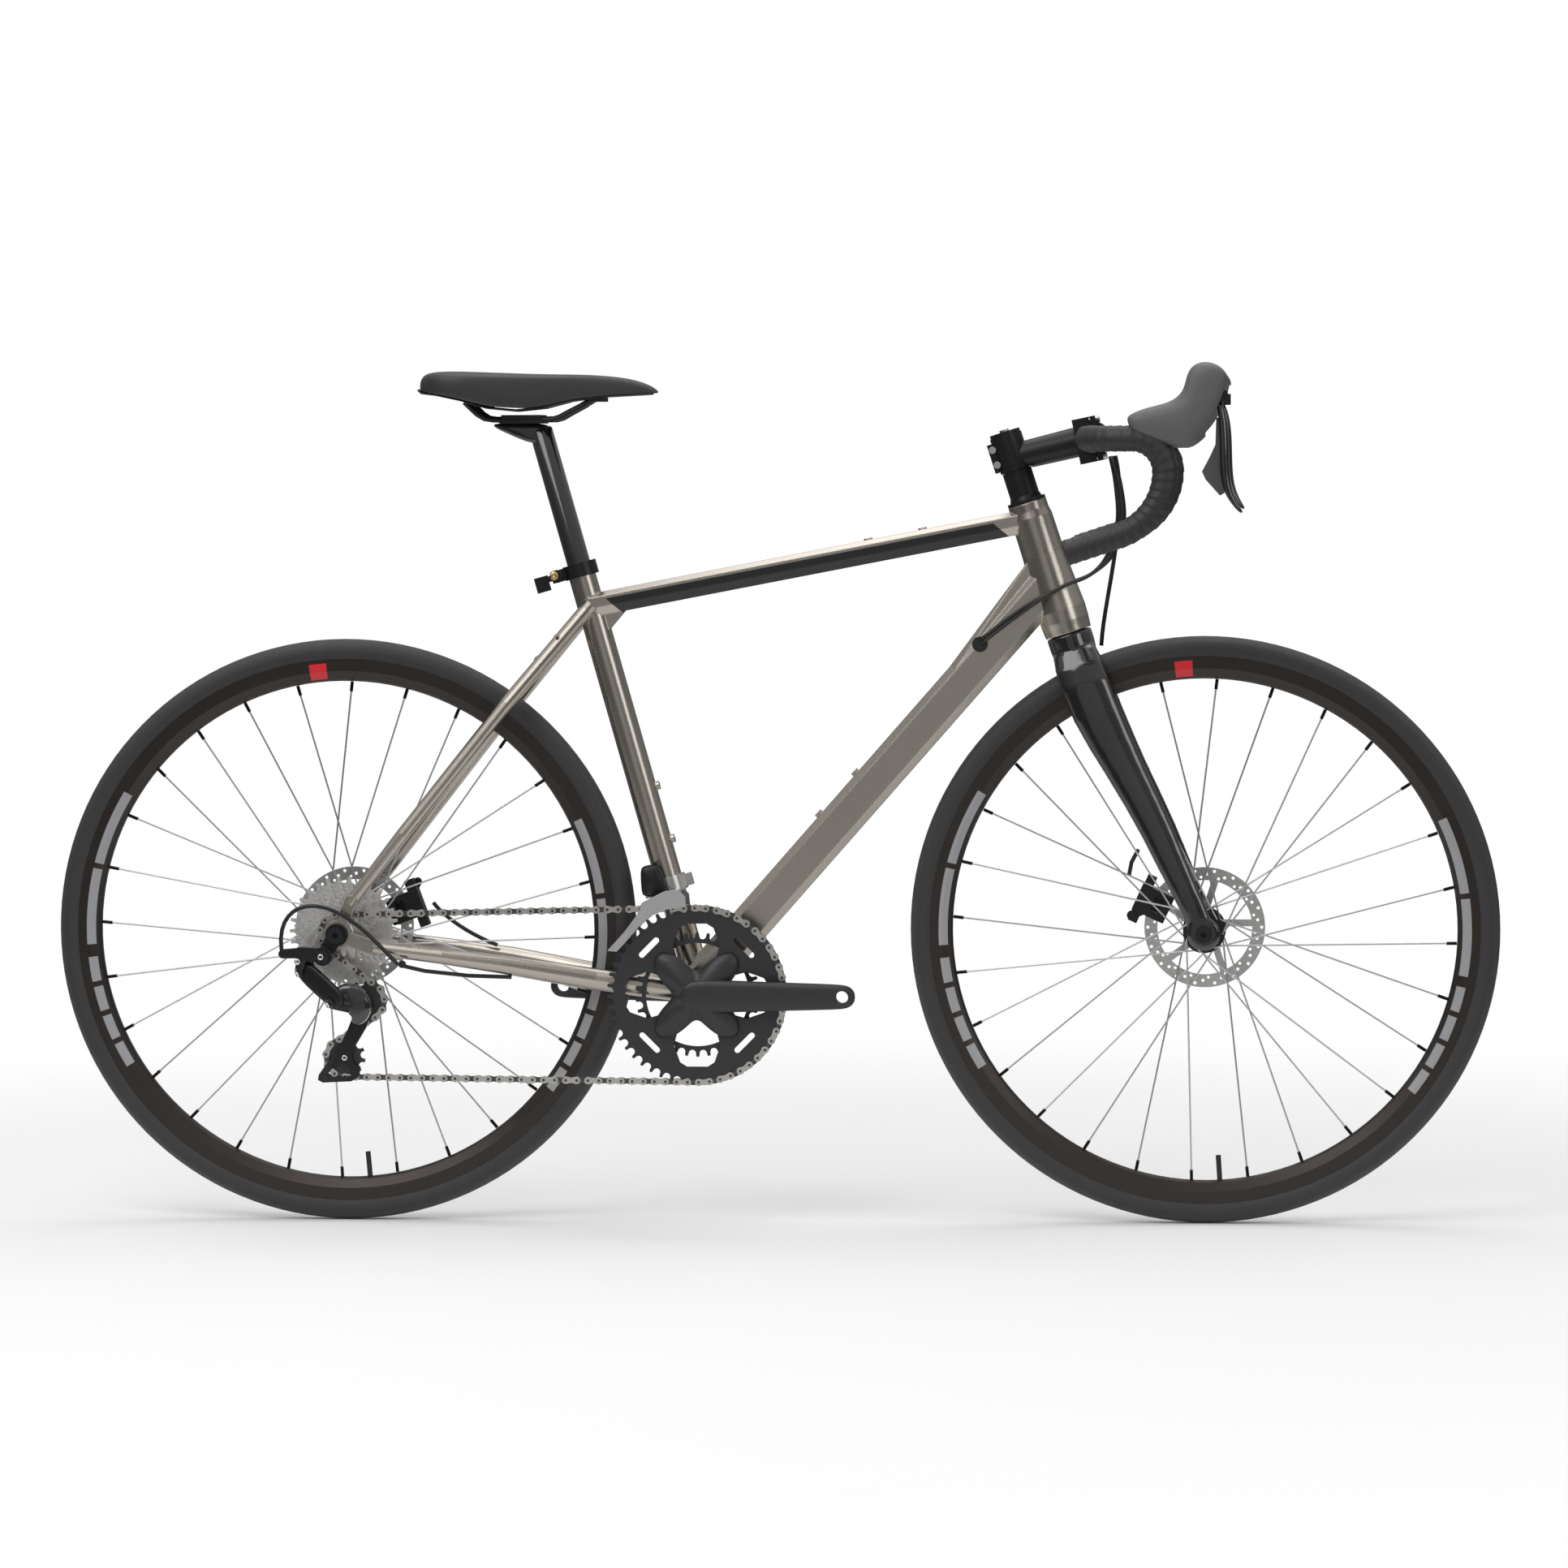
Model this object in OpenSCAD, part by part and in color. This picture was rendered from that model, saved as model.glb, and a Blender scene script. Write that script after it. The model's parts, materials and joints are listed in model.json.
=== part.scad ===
// Road bicycle with disc brakes, twin chainring and drop handlebar.
// +X is forward, +Y is the rider's left, +Z is up. The origin is on the ground, midway between the axles.

/* [Wheels] */
// Outer radius of the tyres
wheel_r = 340; // [336:1:344]
// Width of the tyres
tyre_w = 29; // [27:1:30]
// Distance between the two axles
wheelbase = 1000; // [990:1:1010]
// Spokes in each wheel
spoke_count = 28; // [24:4:32]
// Outer diameter of the brake rotors
rotor_d = 140; // [138:1:142]

/* [Frame] */
// Height of the crank axis below the wheel axles
bb_drop = 72; // [70:1:74]
// Distance from the crank axis to the rear axle, along the ground
chainstay_run = 415; // [412:1:418]
// Slope of the seat tube above horizontal
seat_angle = 74.4; // [74:0.1:75]
// Slope of the steering axis above horizontal
head_angle = 72.5; // [72:0.1:73]
// Offset of the front axle from the steering axis
fork_rake = 45; // [44:1:46]
// Length of the head tube
head_len = 157; // [155:1:160]

/* [Cockpit] */
// Length of the stem from steering axis to bar centre
stem_len = 95; // [90:1:100]
// Handlebar width between the centres of the drops
bar_width = 420; // [400:2:430]
// Radius of the handlebar tube
bar_r = 12; // [11.5:0.1:12]
// Thickness of the handlebar tape
tape_t = 3; // [2:0.1:3]

/* [Drive] */
// Teeth on the outer chainring
big_teeth = 50; // [48:1:50]
// Teeth on the inner chainring
small_teeth = 34; // [34:1:36]
// Teeth on each jockey wheel
pulley_teeth = 11; // [11:1:11]
pulley_tip = 1.2;
// Crank length from spindle to pedal axis
crank_len = 170; // [165:2.5:175]

/* [Seat] */
// Radius of the seatpost
post_r = 13.6; // [13.4:0.1:13.6]
// Length of the seatpost
post_len = 350; // [330:5:380]

/* [Hidden] */

$fn = 48;
chain_pitch = 12.7;
roller_r = 3.8;
gap = 0.05;

// Reference points
rear_x = -wheelbase / 2;
front_x = wheelbase / 2;
bb_x = rear_x + chainstay_run;
bb_z = wheel_r - bb_drop;
rear_axle_at = [rear_x, 0, wheel_r];
front_axle_at = [front_x, 0, wheel_r];
crank_at = [bb_x, 0, bb_z];

// Steering axis, with distances measured up it from axle height
steer_lean = 90 - head_angle;
head_low = 361;
head_top = head_low + head_len;
stem_at = head_top + 57;
clamp_low = head_top + 40;
clamp_top = head_top + 82;
stem_rise = 11.5;
function steer_point(t) =
    [front_x - fork_rake / sin(head_angle) - t * cos(head_angle), 0, wheel_r + t * sin(head_angle)];
module on_steer(t = 0) { translate(steer_point(t)) rotate([0, -steer_lean, 0]) children(); }
bar_at = steer_point(stem_at) + stem_len * [cos(stem_rise), 0, sin(stem_rise)];

// Seat tube axis, with distances measured up it from the crank axis
seat_lean = 90 - seat_angle;
seat_top = 508;
post_top = 668;
function seat_point(t) = [bb_x - t * cos(seat_angle), 0, bb_z + t * sin(seat_angle)];
module on_seat(t = 0) { translate(seat_point(t)) rotate([0, -seat_lean, 0]) children(); }

// Chain layout: centre, teeth, turning sense and side position of the four toothed wheels
ring_y = -50;
cog_y = -62;
small_cog = 11;
guide_at = [-470, 262];
tension_at = [-494.5, 196];
function pitch_r(n) = chain_pitch / 2 / sin(180 / n);
wheels = [
    [[bb_x, bb_z], big_teeth, 1, ring_y],
    [tension_at, pulley_teeth, 1, cog_y],
    [guide_at, pulley_teeth, -1, cog_y],
    [[rear_x, wheel_r], small_cog, 1, cog_y]];
function wc(i) = wheels[i % 4][0];
function wn(i) = wheels[i % 4][1];
function ws(i) = wheels[i % 4][2];
function wy(i) = wheels[i % 4][3];
function wr(i) = pitch_r(wn(i));
function heading(v) = atan2(v.y, v.x);
// Direction of the straight span that leaves wheel i
function span_dir(i) =
    let (d = wc(i + 1) - wc(i))
    heading(d) - asin((ws(i) * wr(i) - ws(i + 1) * wr(i + 1)) / norm(d));
function angle_in(i) = span_dir((i + 3) % 4) + 90 * ws(i);
function angle_out(i) = span_dir(i) + 90 * ws(i);
function turn(i) = ((ws(i) * (angle_in(i) - angle_out(i))) % 360 + 360) % 360;
function rollers_on(i) = floor(turn(i) * wn(i) / 360);
function roller(i, k) =
    let (a = angle_in(i) - ws(i) * k * 360 / wn(i))
    [wc(i).x + wr(i) * cos(a), wy(i), wc(i).y + wr(i) * sin(a)];
// A span keeps in line with its wheels for a few links at each end and crosses sideways between them
in_line = 3;
function span_points(i) =
    let (a = roller(i, rollers_on(i)), b = roller((i + 1) % 4, 0), n = round(norm(b - a) / chain_pitch))
    [for (k = [1:n - 1])
        let (p = a + (b - a) * k / n, t = min(1, max(0, (k - in_line) / max(1, n - 2 * in_line))))
        [p.x, a.y + (b.y - a.y) * t, p.z]];
chain_points = [for (i = [0:3]) each concat([for (k = [0:rollers_on(i)]) roller(i, k)], span_points(i))];

// ---------- General shapes ----------

// Straight round bar between two points
module rod(a, b, ra, rb = undef) {
    d = b - a;
    h = norm(d);
    translate(a)
        rotate([0, acos(d.z / h), atan2(d.y, d.x)])
            cylinder(h = h, r1 = ra, r2 = rb == undef ? ra : rb);
}

// Cylinder along Y, centred on a point
module disc_y(at, r, w) { translate(at) rotate([90, 0, 0]) cylinder(h = w, r = r, center = true); }

// Flat plate in the XZ plane between two Y positions
module plate_y(y1, y2) { translate([0, y2, 0]) rotate([90, 0, 0]) linear_extrude(y2 - y1) children(); }

// Turned shape about a Y axis: the outline's X is the radius and its Y is the distance along +Y
module turned_y(at) { translate(at) rotate([-90, 0, 0]) rotate_extrude($fn = 96) children(); }

// Stadium outline between two points
module link_2d(a, b, r) {
    d = b - a;
    translate(a) circle(r);
    translate(b) circle(r);
    translate(a) rotate(heading(d)) translate([0, -r]) square([norm(d), 2 * r]);
}

// Smooth round cord through points
function mix(a, b, t) = a * (1 - t) + b * t;
function bend(p, t) =
    len(p) == 1 ? p[0] : bend([for (i = [0:len(p) - 2]) mix(p[i], p[i + 1], t)], t);
function curve(p, n) = [for (i = [0:n]) bend(p, i / n)];
function unit(v) = v / norm(v);
function tangents(p) =
    [for (i = [0:len(p) - 1]) unit(p[min(i + 1, len(p) - 1)] - p[max(i - 1, 0)])];
function side_of(t) = unit(cross(t, abs(t.y) < 0.8 ? [0, 1, 0] : [1, 0, 0]));
function cord_points(p, r, n) =
    let (t = tangents(p))
    [for (i = [0:len(p) - 1]) for (k = [0:n - 1])
        let (u = side_of(t[i]), v = cross(t[i], u), a = 360 * k / n)
        p[i] + r * (cos(a) * u + sin(a) * v)];
module cord(p, r, n = 10) {
    last = len(p) - 1;
    sides = [for (i = [0:last - 1]) for (k = [0:n - 1])
        let (m = (k + 1) % n) [i * n + k, (i + 1) * n + k, (i + 1) * n + m, i * n + m]];
    ends = [[for (k = [0:n - 1]) k], [for (k = [n - 1:-1:0]) last * n + k]];
    polyhedron(points = cord_points(p, r, n), faces = concat(sides, ends), convexity = 8);
}

// The same cord with a hole along it
module tube(p, r, hole, n = 20) {
    last = len(p) - 1;
    h = len(p) * n;
    faces = [for (k = [0:n - 1]) let (m = (k + 1) % n) each concat(
        [for (i = [0:last - 1]) [i * n + k, (i + 1) * n + k, (i + 1) * n + m, i * n + m]],
        [for (i = [0:last - 1]) [h + i * n + m, h + (i + 1) * n + m, h + (i + 1) * n + k, h + i * n + k]],
        [[k, m, h + m, h + k], [last * n + m, last * n + k, h + last * n + k, h + last * n + m]])];
    polyhedron(points = concat(cord_points(p, r, n), cord_points(p, hole, n)), faces = faces, convexity = 8);
}

// Tube through points, each with its half width as a fourth value and height over width as a fifth
module taper(p, n = 16) {
    c = [for (q = p) [q.x, q.y, q.z]];
    t = tangents(c);
    loft([for (i = [0:len(p) - 1])
        let (u = side_of(t[i]), v = cross(t[i], u), tall = len(p[i]) > 4 ? p[i][4] : 1)
        [for (k = [0:n - 1]) c[i] + p[i][3] * (tall * cos(360 * k / n) * u + sin(360 * k / n) * v)]]);
}

// Closed loft through rings of equal length
module loft(rings) {
    n = len(rings[0]);
    last = len(rings) - 1;
    sides = [for (i = [0:last - 1]) for (k = [0:n - 1])
        let (m = (k + 1) % n) [i * n + k, (i + 1) * n + k, (i + 1) * n + m, i * n + m]];
    ends = [[for (k = [0:n - 1]) k], [for (k = [n - 1:-1:0]) last * n + k]];
    polyhedron(points = [for (r = rings) each r], faces = concat(sides, ends), convexity = 8);
}

// Tooth outline: a gap lies at angle start
module sprocket_2d(n, start = 0, tip = 3.4) {
    difference() {
        circle(pitch_r(n) + tip, $fn = 120);
        for (k = [0:n - 1])
            rotate(start + k * 360 / n) translate([pitch_r(n), 0]) {
                circle(roller_r + 0.5, $fn = 24);
                polygon([[0, 4.2], [6, 5.8], [6, -5.8], [0, -4.2]]);
            }
    }
}

// ---------- Frame ----------

shell_half = 34;
top_tube_a = seat_point(467.5);
top_tube_b = steer_point(head_top - 20);
down_tube_a = [bb_x - 4, 0, bb_z + 8];
down_tube_b = steer_point(head_low + 63);
stay_top = [bb_x - 129, 17, bb_z + 445];
stay_foot = [rear_x + 14, 73, wheel_r + 35];
chain_foot = [rear_x + 41, 73, wheel_r - 16];
chain_mid = [-312, 54, 304];
chain_bend = [-205, 31, 284.5];
chain_nose = [bb_x - 12, 26, bb_z + 2];
eyelet_at = [-246, 23.5, 681];

// Sets local Z along the line from a to b in the XZ plane, with local X pointing below the line
module along(a, b) { translate(a) rotate([0, atan2(b.x - a.x, b.z - a.z), 0]) children(); }

// Hollow inside of a tube, open only into the head tube
module tube_void(a, b, start, wall_t) {
    along(a, b)
        translate([0, 0, start])
            linear_extrude(norm(b - a) - start) offset(delta = -wall_t) children();
}
module top_tube_2d() {
    polygon([[-13, -10], [-8, -18], [4, -18], [14, -12], [14, 12], [4, 18], [-8, 18], [-13, 10]]);
}
module down_tube_2d() {
    polygon([[-23, -14], [-15, -21], [15, -21], [23, -14], [23, 14], [15, 21], [-15, 21], [-23, 14]]);
}

// The down tube widens into the back of the head tube
module down_tube_flare() {
    hull() {
        along(down_tube_a, down_tube_b)
            translate([0, 0, norm(down_tube_b - down_tube_a) - 160])
                linear_extrude(1) offset(delta = -0.6) down_tube_2d();
        on_steer(head_low + 38) translate([-12, -14, 0]) cube([10, 28, 60]);
    }
}

module head_tube() {
    on_steer()
        rotate_extrude($fn = 96)
            polygon([[0, head_low], [27, head_low], [28.2, head_low + 14], [28.6, head_low + 28],
                [26.4, head_low + 62], [24.6, head_low + 95], [24.2, head_top - 18],
                [22.6, head_top - 10], [22.6, head_top], [0, head_top]]);
}

module head_bore() {
    on_steer()
        rotate_extrude($fn = 96)
            polygon([[0, head_low - 1], [23.5, head_low - 1], [23.5, head_low + 8], [20.5, head_low + 8],
                [20.5, head_low + 60], [17, head_low + 90], [17, head_top - 8], [20.9, head_top - 8],
                [20.9, head_top + 1], [0, head_top + 1]]);
}

module rear_end(side) {
    taper([[stay_top.x + 6, side * (stay_top.y - 1), stay_top.z + 7, 8.6],
        [stay_top.x, side * stay_top.y, stay_top.z, 8.6],
        [-304, side * 43, 606, 8.4], [-424, side * 68, 455, 7.8],
        [stay_foot.x, side * stay_foot.y, stay_foot.z, 7]]);
    taper([[chain_foot.x, side * chain_foot.y, chain_foot.z, 7.6], [-380, side * 67, 314, 8.8],
        [chain_mid.x, side * chain_mid.y, chain_mid.z, 10.4, 1.05],
        [chain_bend.x, side * chain_bend.y, chain_bend.z, 9.4, 1.4],
        [chain_nose.x, side * chain_nose.y, chain_nose.z, 9.2, 1.4]]);
    y1 = side > 0 ? 71 : -79;
    plate_y(y1, y1 + 8)
        union() {
            translate([rear_x, wheel_r]) circle(17);
            link_2d([rear_x, wheel_r], [stay_foot.x + 3, stay_foot.z + 4], 7);
            link_2d([rear_x, wheel_r], [chain_foot.x + 4, chain_foot.z], 8);
        }
}

module boss(at, lean, len) { translate(at) rotate([0, lean, 0]) cylinder(h = len, r = 5); }
module boss_hole(at, lean, len) {
    translate(at) rotate([0, lean, 0]) translate([0, 0, -10]) cylinder(h = len + 11, r = 2.1);
}

boss_gap = 64;
seat_boss = [180.5, 180.5 + boss_gap];
down_dir = unit(down_tube_b - down_tube_a);
down_up = [-down_dir.z, 0, down_dir.x];
down_lean = atan2(down_up.x, down_up.z);
top_dir = unit(top_tube_b - top_tube_a);
top_up = [-top_dir.z, 0, top_dir.x];
top_lean = atan2(top_up.x, top_up.z);
down_boss = [for (s = [244, 244 + boss_gap]) down_tube_a + s * down_dir + 21 * down_up];
top_boss = [for (s = [332, 332 + boss_gap]) top_tube_a + s * top_dir + 11 * top_up];
boss_rise = 4;

module frame() {
    color([0.72, 0.70, 0.66])
        difference() {
            union() {
                head_tube();
                on_seat() cylinder(h = seat_top, r = 15.9);
                disc_y(crank_at, 21, 2 * shell_half);
                along(top_tube_a, top_tube_b) linear_extrude(norm(top_tube_b - top_tube_a)) top_tube_2d();
                along(down_tube_a, down_tube_b)
                    linear_extrude(norm(down_tube_b - down_tube_a)) down_tube_2d();
                down_tube_flare();
                plate_y(-9, 9) polygon([for (p = [seat_point(425), seat_point(455),
                    top_tube_a + 46 * top_dir - 8 * top_up]) [p.x, p.z]]);
                rear_end(1);
                rear_end(-1);
                disc_y([-268, 0, 655], 6, 58);
                for (s = [-1, 1]) disc_y([eyelet_at.x, s * 25, eyelet_at.z], 5, 9);
                for (t = seat_boss) boss(seat_point(t) + 13 * [sin(seat_angle), 0, cos(seat_angle)],
                    90 - seat_lean, boss_rise + 2.9);
                for (p = down_boss) boss(p, down_lean, boss_rise + 2);
                for (p = top_boss) boss(p, top_lean, boss_rise);
            }
            head_bore();
            tube_void(top_tube_a, top_tube_b, 19, 1.6) top_tube_2d();
            tube_void(down_tube_a, down_tube_b, 26, 1.6) down_tube_2d();
            on_seat(30) cylinder(h = seat_top, r = post_r + gap);
            disc_y(crank_at, 17.4, 2 * shell_half + 2);
            for (s = [-1, 1]) disc_y(crank_at + [0, s * (shell_half + 5.52), 0], 22.3, 11);
            disc_y([rear_x, 0, wheel_r], 6.05, 170);
            for (s = [-1, 1]) disc_y([eyelet_at.x, s * 28, eyelet_at.z], 2.1, 12);
            for (t = seat_boss) boss_hole(seat_point(t) + 13 * [sin(seat_angle), 0, cos(seat_angle)],
                90 - seat_lean, boss_rise + 2.9);
            for (p = down_boss) boss_hole(p, down_lean, boss_rise + 2);
            for (p = top_boss) boss_hole(p, top_lean, boss_rise);
        }
}

hanger_bolt = [-514, 316.5];
module derailleur_hanger() {
    color([0.16, 0.16, 0.17])
        plate_y(-84.2, -79.05)
            difference() {
                union() {
                    translate([rear_x, wheel_r]) circle(13);
                    link_2d([rear_x - 2, wheel_r - 2], hanger_bolt, 9);
                }
                translate([rear_x, wheel_r]) circle(6.05);
                translate(hanger_bolt) circle(5.05);
            }
}

module headset_bearings() {
    color([0.75, 0.76, 0.78]) {
        on_steer(head_top - 7.9) difference() { cylinder(h = 7, r = 20.85); bore(14.4, 7); }
        on_steer(head_low + 0.9) difference() { cylinder(h = 7, r = 23.45); bore(19.1, 7); }
    }
}
module bore(r, h) { translate([0, 0, -1]) cylinder(h = h + 2, r = r); }

module bottom_bracket() {
    color([0.12, 0.12, 0.13])
        for (s = [-1, 1])
            difference() {
                union() {
                    disc_y([bb_x, s * 39.05, bb_z], 22, 10);
                    disc_y([bb_x, s * 27, bb_z], 17.35, 14.2);
                }
                disc_y([bb_x, s * 32, bb_z], 12.05, 40);
            }
}

// ---------- Wheels ----------

rim_flange_r = 317;
rim_bed_r = 291;
rim_half = 11.5;
bead_half = 9.5;
wall = 1.6;
front_valve = 273.4;
rear_valve = 274.7;

module tyre(at) {
    core_r = wheel_r - tyre_w / 2;
    color([0.10, 0.10, 0.11])
        turned_y(at)
            difference() {
                union() {
                    intersection() {
                        translate([core_r, 0]) circle(tyre_w / 2);
                        translate([rim_flange_r + gap, -20]) square([40, 40]);
                    }
                    translate([311, -bead_half + gap]) square([8, 2 * (bead_half - gap)]);
                }
                translate([core_r, 0]) circle(tyre_w / 2 - 2.6);
                translate([305, -bead_half + 2.4]) square([core_r - 305, 2 * (bead_half - 2.4)]);
            }
}

module at_valve(at, valve) { translate(at) rotate([0, 90 - valve, 0]) children(); }
module rim(at, valve) {
    color([0.17, 0.15, 0.14]) {
        difference() {
            turned_y(at)
                difference() {
                    polygon([[rim_bed_r, -4], [rim_bed_r + 2, -7], [rim_flange_r - 14, -rim_half],
                        [rim_flange_r, -rim_half], [rim_flange_r, -bead_half], [310, -bead_half],
                        [310, -5], [306.5, -4], [306.5, 4], [310, 5], [310, bead_half],
                        [rim_flange_r, bead_half], [rim_flange_r, rim_half],
                        [rim_flange_r - 14, rim_half], [rim_bed_r + 2, 7], [rim_bed_r, 4]]);
                    polygon([[293.5, -3], [295, -5.5], [302, wall - rim_half], [304.5, -8.5],
                        [304.5, 8.5], [302, rim_half - wall], [295, 5.5], [293.5, 3]]);
                    translate([304, -0.5]) square([4, 1]);
                }
            at_valve(at, valve) translate([0, 0, 280]) cylinder(h = 40, r = 4);
        }
        at_valve(at, valve) translate([0, 0, 262]) cylinder(h = 50, r = 3);
    }
}

// Spokes run between a flange circle and the rim, crossing each other
module spokes(at, valve, hub_r, left_y, right_y) {
    pairs = spoke_count / 2;
    color([0.72, 0.73, 0.74])
        for (side = [-1, 1])
            for (k = [0:pairs - 1]) {
                way = k % 2 == 0 ? 1 : -1;
                fy = (side > 0 ? left_y : right_y) + (k % 2 == 0 ? 2.7 : -2.7);
                ring = valve + 360 / spoke_count * (2 * k + (side > 0 ? 0.5 : 1.5));
                head = ring + way * 68;
                a = at + [hub_r * cos(head), fy, hub_r * sin(head)];
                b = at + [(rim_bed_r - 0.4) * cos(ring), side * 1.2, (rim_bed_r - 0.4) * sin(ring)];
                rod(a, b, 1);
                rod(mix(b, a, 0.042), b, 1.9);
            }
}

module rotor_2d(r) {
    difference() {
        circle(r, $fn = 96);
        circle(r - 15, $fn = 96);
        for (k = [0:17])
            rotate(k * 20) {
                translate([r - 4, 0]) circle(1.9, $fn = 16);
                rotate(8) translate([r - 8, 0]) circle(1.9, $fn = 16);
                rotate(14) translate([r - 11.5, 0]) circle(1.7, $fn = 16);
            }
    }
    difference() {
        union() {
            circle(24);
            for (k = [0:4]) rotate(k * 72) translate([-4, 17]) rotate(-18) square([8, r - 28]);
        }
        circle(19.05);
    }
}

front_rotor_y = 39.5;
rear_rotor_y = 55;
module rotor(at, y, r) {
    color([0.74, 0.74, 0.74])
        plate_y(y - 0.9, y + 0.9) translate([at.x, at.z]) rotor_2d(r);
}

module front_hub() {
    color([0.14, 0.14, 0.15])
        turned_y(front_axle_at)
            polygon([[8.5, -46], [13, -46], [13, -37], [24, -35.5], [24, -32.5], [13, -30], [11, -10],
                [11, 8], [14, 16], [25, 18.5], [25, 21.5], [19, 24], [19, 42], [21.5, 42.2],
                [21.5, 45], [8.5, 45]]);
}

module rear_hub() {
    color([0.14, 0.14, 0.15])
        turned_y(rear_axle_at)
            polygon([[8.5, -21.8], [17, -21.8], [26, -20.5], [26, -17.5], [15, -13], [13, 4], [14, 20],
                [26, 27.5], [26, 30.5], [19, 34], [19, 57], [21.5, 57.2], [21.5, 60], [8.5, 60]]);
}

// Through axle with its hub sleeve and the bearings that the hub turns on
module axle_group(at, half, cap_y, head_y) {
    color([0.20, 0.20, 0.21]) {
        difference() {
            union() {
                rod(at + [0, half + 7.9, 0], at + [0, -head_y - 6, 0], 5.95);
                rod(at + [0, -head_y - gap, 0], at + [0, -head_y - 7, 0], 9.5);
            }
            translate(at + [0, -head_y - 1, 0]) rotate([90, 0, 0]) cylinder(h = 12, r = 3.5, $fn = 6);
        }
        turned_y(at)
            polygon([[6.2, -half + gap], [11, -half + gap], [11, -cap_y], [7.9, -cap_y], [7.9, cap_y],
                [11, cap_y], [11, half - gap], [6.2, half - gap]]);
    }
}

// ---------- Brakes ----------

// Caliper body around a rotor: local X is outward from the axle, local Y is across the rotor
module caliper_shape(r, pinch) {
    difference() {
        union() {
            translate([r - 24, -13, -16]) cube([40, 23, 32]);
            translate([r - 10, 10, 0]) rotate([-90, 0, 0]) cylinder(h = pinch, r = 11);
            translate([r + 4, -8, -29]) cube([11, 16, 58]);
        }
        translate([r - 30, -3.2, -30]) cube([33, 6.4, 60]);
        translate([r - 14, -20, -9]) cube([10, 20, 18]);
    }
    translate([r - 10, 10, 0]) rotate([-90, 0, 0]) cylinder(h = pinch + 6.2, r = 3);
    for (s = [-1, 1]) translate([r - 18, s * 2.1 - 0.9, -8]) cube([15, 1.8, 16]);
}
module at_caliper(at, y, angle) { translate([at.x, y, at.z]) rotate([0, -angle, 0]) children(); }
rear_caliper_angle = 20;
front_caliper_angle = 155;
arm_pivot_r = rotor_d / 2 - 10;

module rear_caliper() {
    color([0.12, 0.12, 0.13])
        at_caliper(rear_axle_at, rear_rotor_y, rear_caliper_angle) caliper_shape(rotor_d / 2, 6);
}
module front_caliper() {
    color([0.12, 0.12, 0.13])
        at_caliper(front_axle_at, front_rotor_y, front_caliper_angle) caliper_shape(rotor_d / 2, 6);
}
module brake_arm(at, y, angle, swing) {
    color([0.14, 0.14, 0.15])
        at_caliper(at, y, angle)
            translate([arm_pivot_r, 16.1, 0])
                rotate([0, swing, 0])
                    rotate([-90, 0, 0])
                        linear_extrude(5)
                            difference() {
                                union() {
                                    circle(9);
                                    link_2d([0, 0], [34, 0], 5);
                                }
                                circle(3 + gap);
                            }
}
module rear_brake_arm() { brake_arm(rear_axle_at, rear_rotor_y, rear_caliper_angle, -42); }
module front_brake_arm() { brake_arm(front_axle_at, front_rotor_y, front_caliper_angle, -47); }

// ---------- Drive ----------

cog_teeth = [11, 12, 13, 14, 15, 17, 19, 21, 24, 27, 30];
cog_step = 3.74;
module cassette() {
    color([0.70, 0.70, 0.69]) {
        for (i = [0:len(cog_teeth) - 1])
            plate_y(cog_y + i * cog_step - 0.8, cog_y + i * cog_step + 0.8)
                difference() {
                    translate([rear_x, wheel_r]) sprocket_2d(cog_teeth[i], angle_in(3));
                    translate([rear_x, wheel_r]) circle(17);
                    if (cog_teeth[i] > 18)
                        for (k = [0:5])
                            translate([rear_x, wheel_r])
                                rotate(k * 60)
                                    translate([(pitch_r(cog_teeth[i]) + 15) / 2, 0])
                                        circle((pitch_r(cog_teeth[i]) - 30) / 3 + 1.5);
                }
        turned_y(rear_axle_at)
            polygon([[8.5, cog_y - 4], [16, cog_y - 4], [16, cog_y - 1.5], [16.9, cog_y - 0.9],
                [16.9, -22.1], [8.5, -22.1]]);
    }
}

ring_half = 1.2;
web_angles = [45, 135, 225, 315];
bolt_circle = 55;
module outer_chainring() {
    color([0.15, 0.15, 0.16])
        plate_y(ring_y - ring_half, ring_y + ring_half)
            translate([bb_x, bb_z])
                difference() {
                    sprocket_2d(big_teeth, angle_in(0));
                    circle(47, $fn = 96);
                    for (a = [0, 90, 180, 270])
                        rotate(a)
                            polygon([[40, -22], [58, -27], [78, -20], [83, -12], [83, 12], [78, 20],
                                [58, 27], [40, 22]]);
                    for (a = web_angles)
                        rotate(a) {
                            translate([bolt_circle, 0]) circle(5.05);
                            link_2d([78, -12], [78, 12], 3.4);
                        }
                }
}

module inner_chainring() {
    color([0.13, 0.13, 0.14])
        plate_y(-43.4, -41.2)
            translate([bb_x, bb_z])
                difference() {
                    sprocket_2d(small_teeth, 0);
                    difference() {
                        circle(60, $fn = 96);
                        for (a = web_angles) rotate(a) translate([58, 0]) circle(12);
                    }
                    for (a = web_angles) rotate(a) translate([bolt_circle, 0]) circle(5.05);
                }
}

module chainring_bolts() {
    color([0.25, 0.25, 0.26])
        for (a = web_angles)
            translate(crank_at + bolt_circle * [cos(a), 0, sin(a)]) {
                disc_y([0, -46.4, 0], 5, 15);
                disc_y([0, -39.55, 0], 6.6, 3.1);
            }
}

arm_in = 57;
module arm_shape(side, way) {
    hull() {
        disc_y(crank_at + [0, side * (arm_in + 6.5), 0], 17, 13);
        disc_y(crank_at + [way * 60, side * (arm_in + 8), 0], 15.5, 13);
    }
    hull() {
        disc_y(crank_at + [way * 60, side * (arm_in + 8), 0], 15.5, 13);
        disc_y(crank_at + [way * crank_len, side * (arm_in + 13), 0], 15, 13);
    }
}

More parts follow.
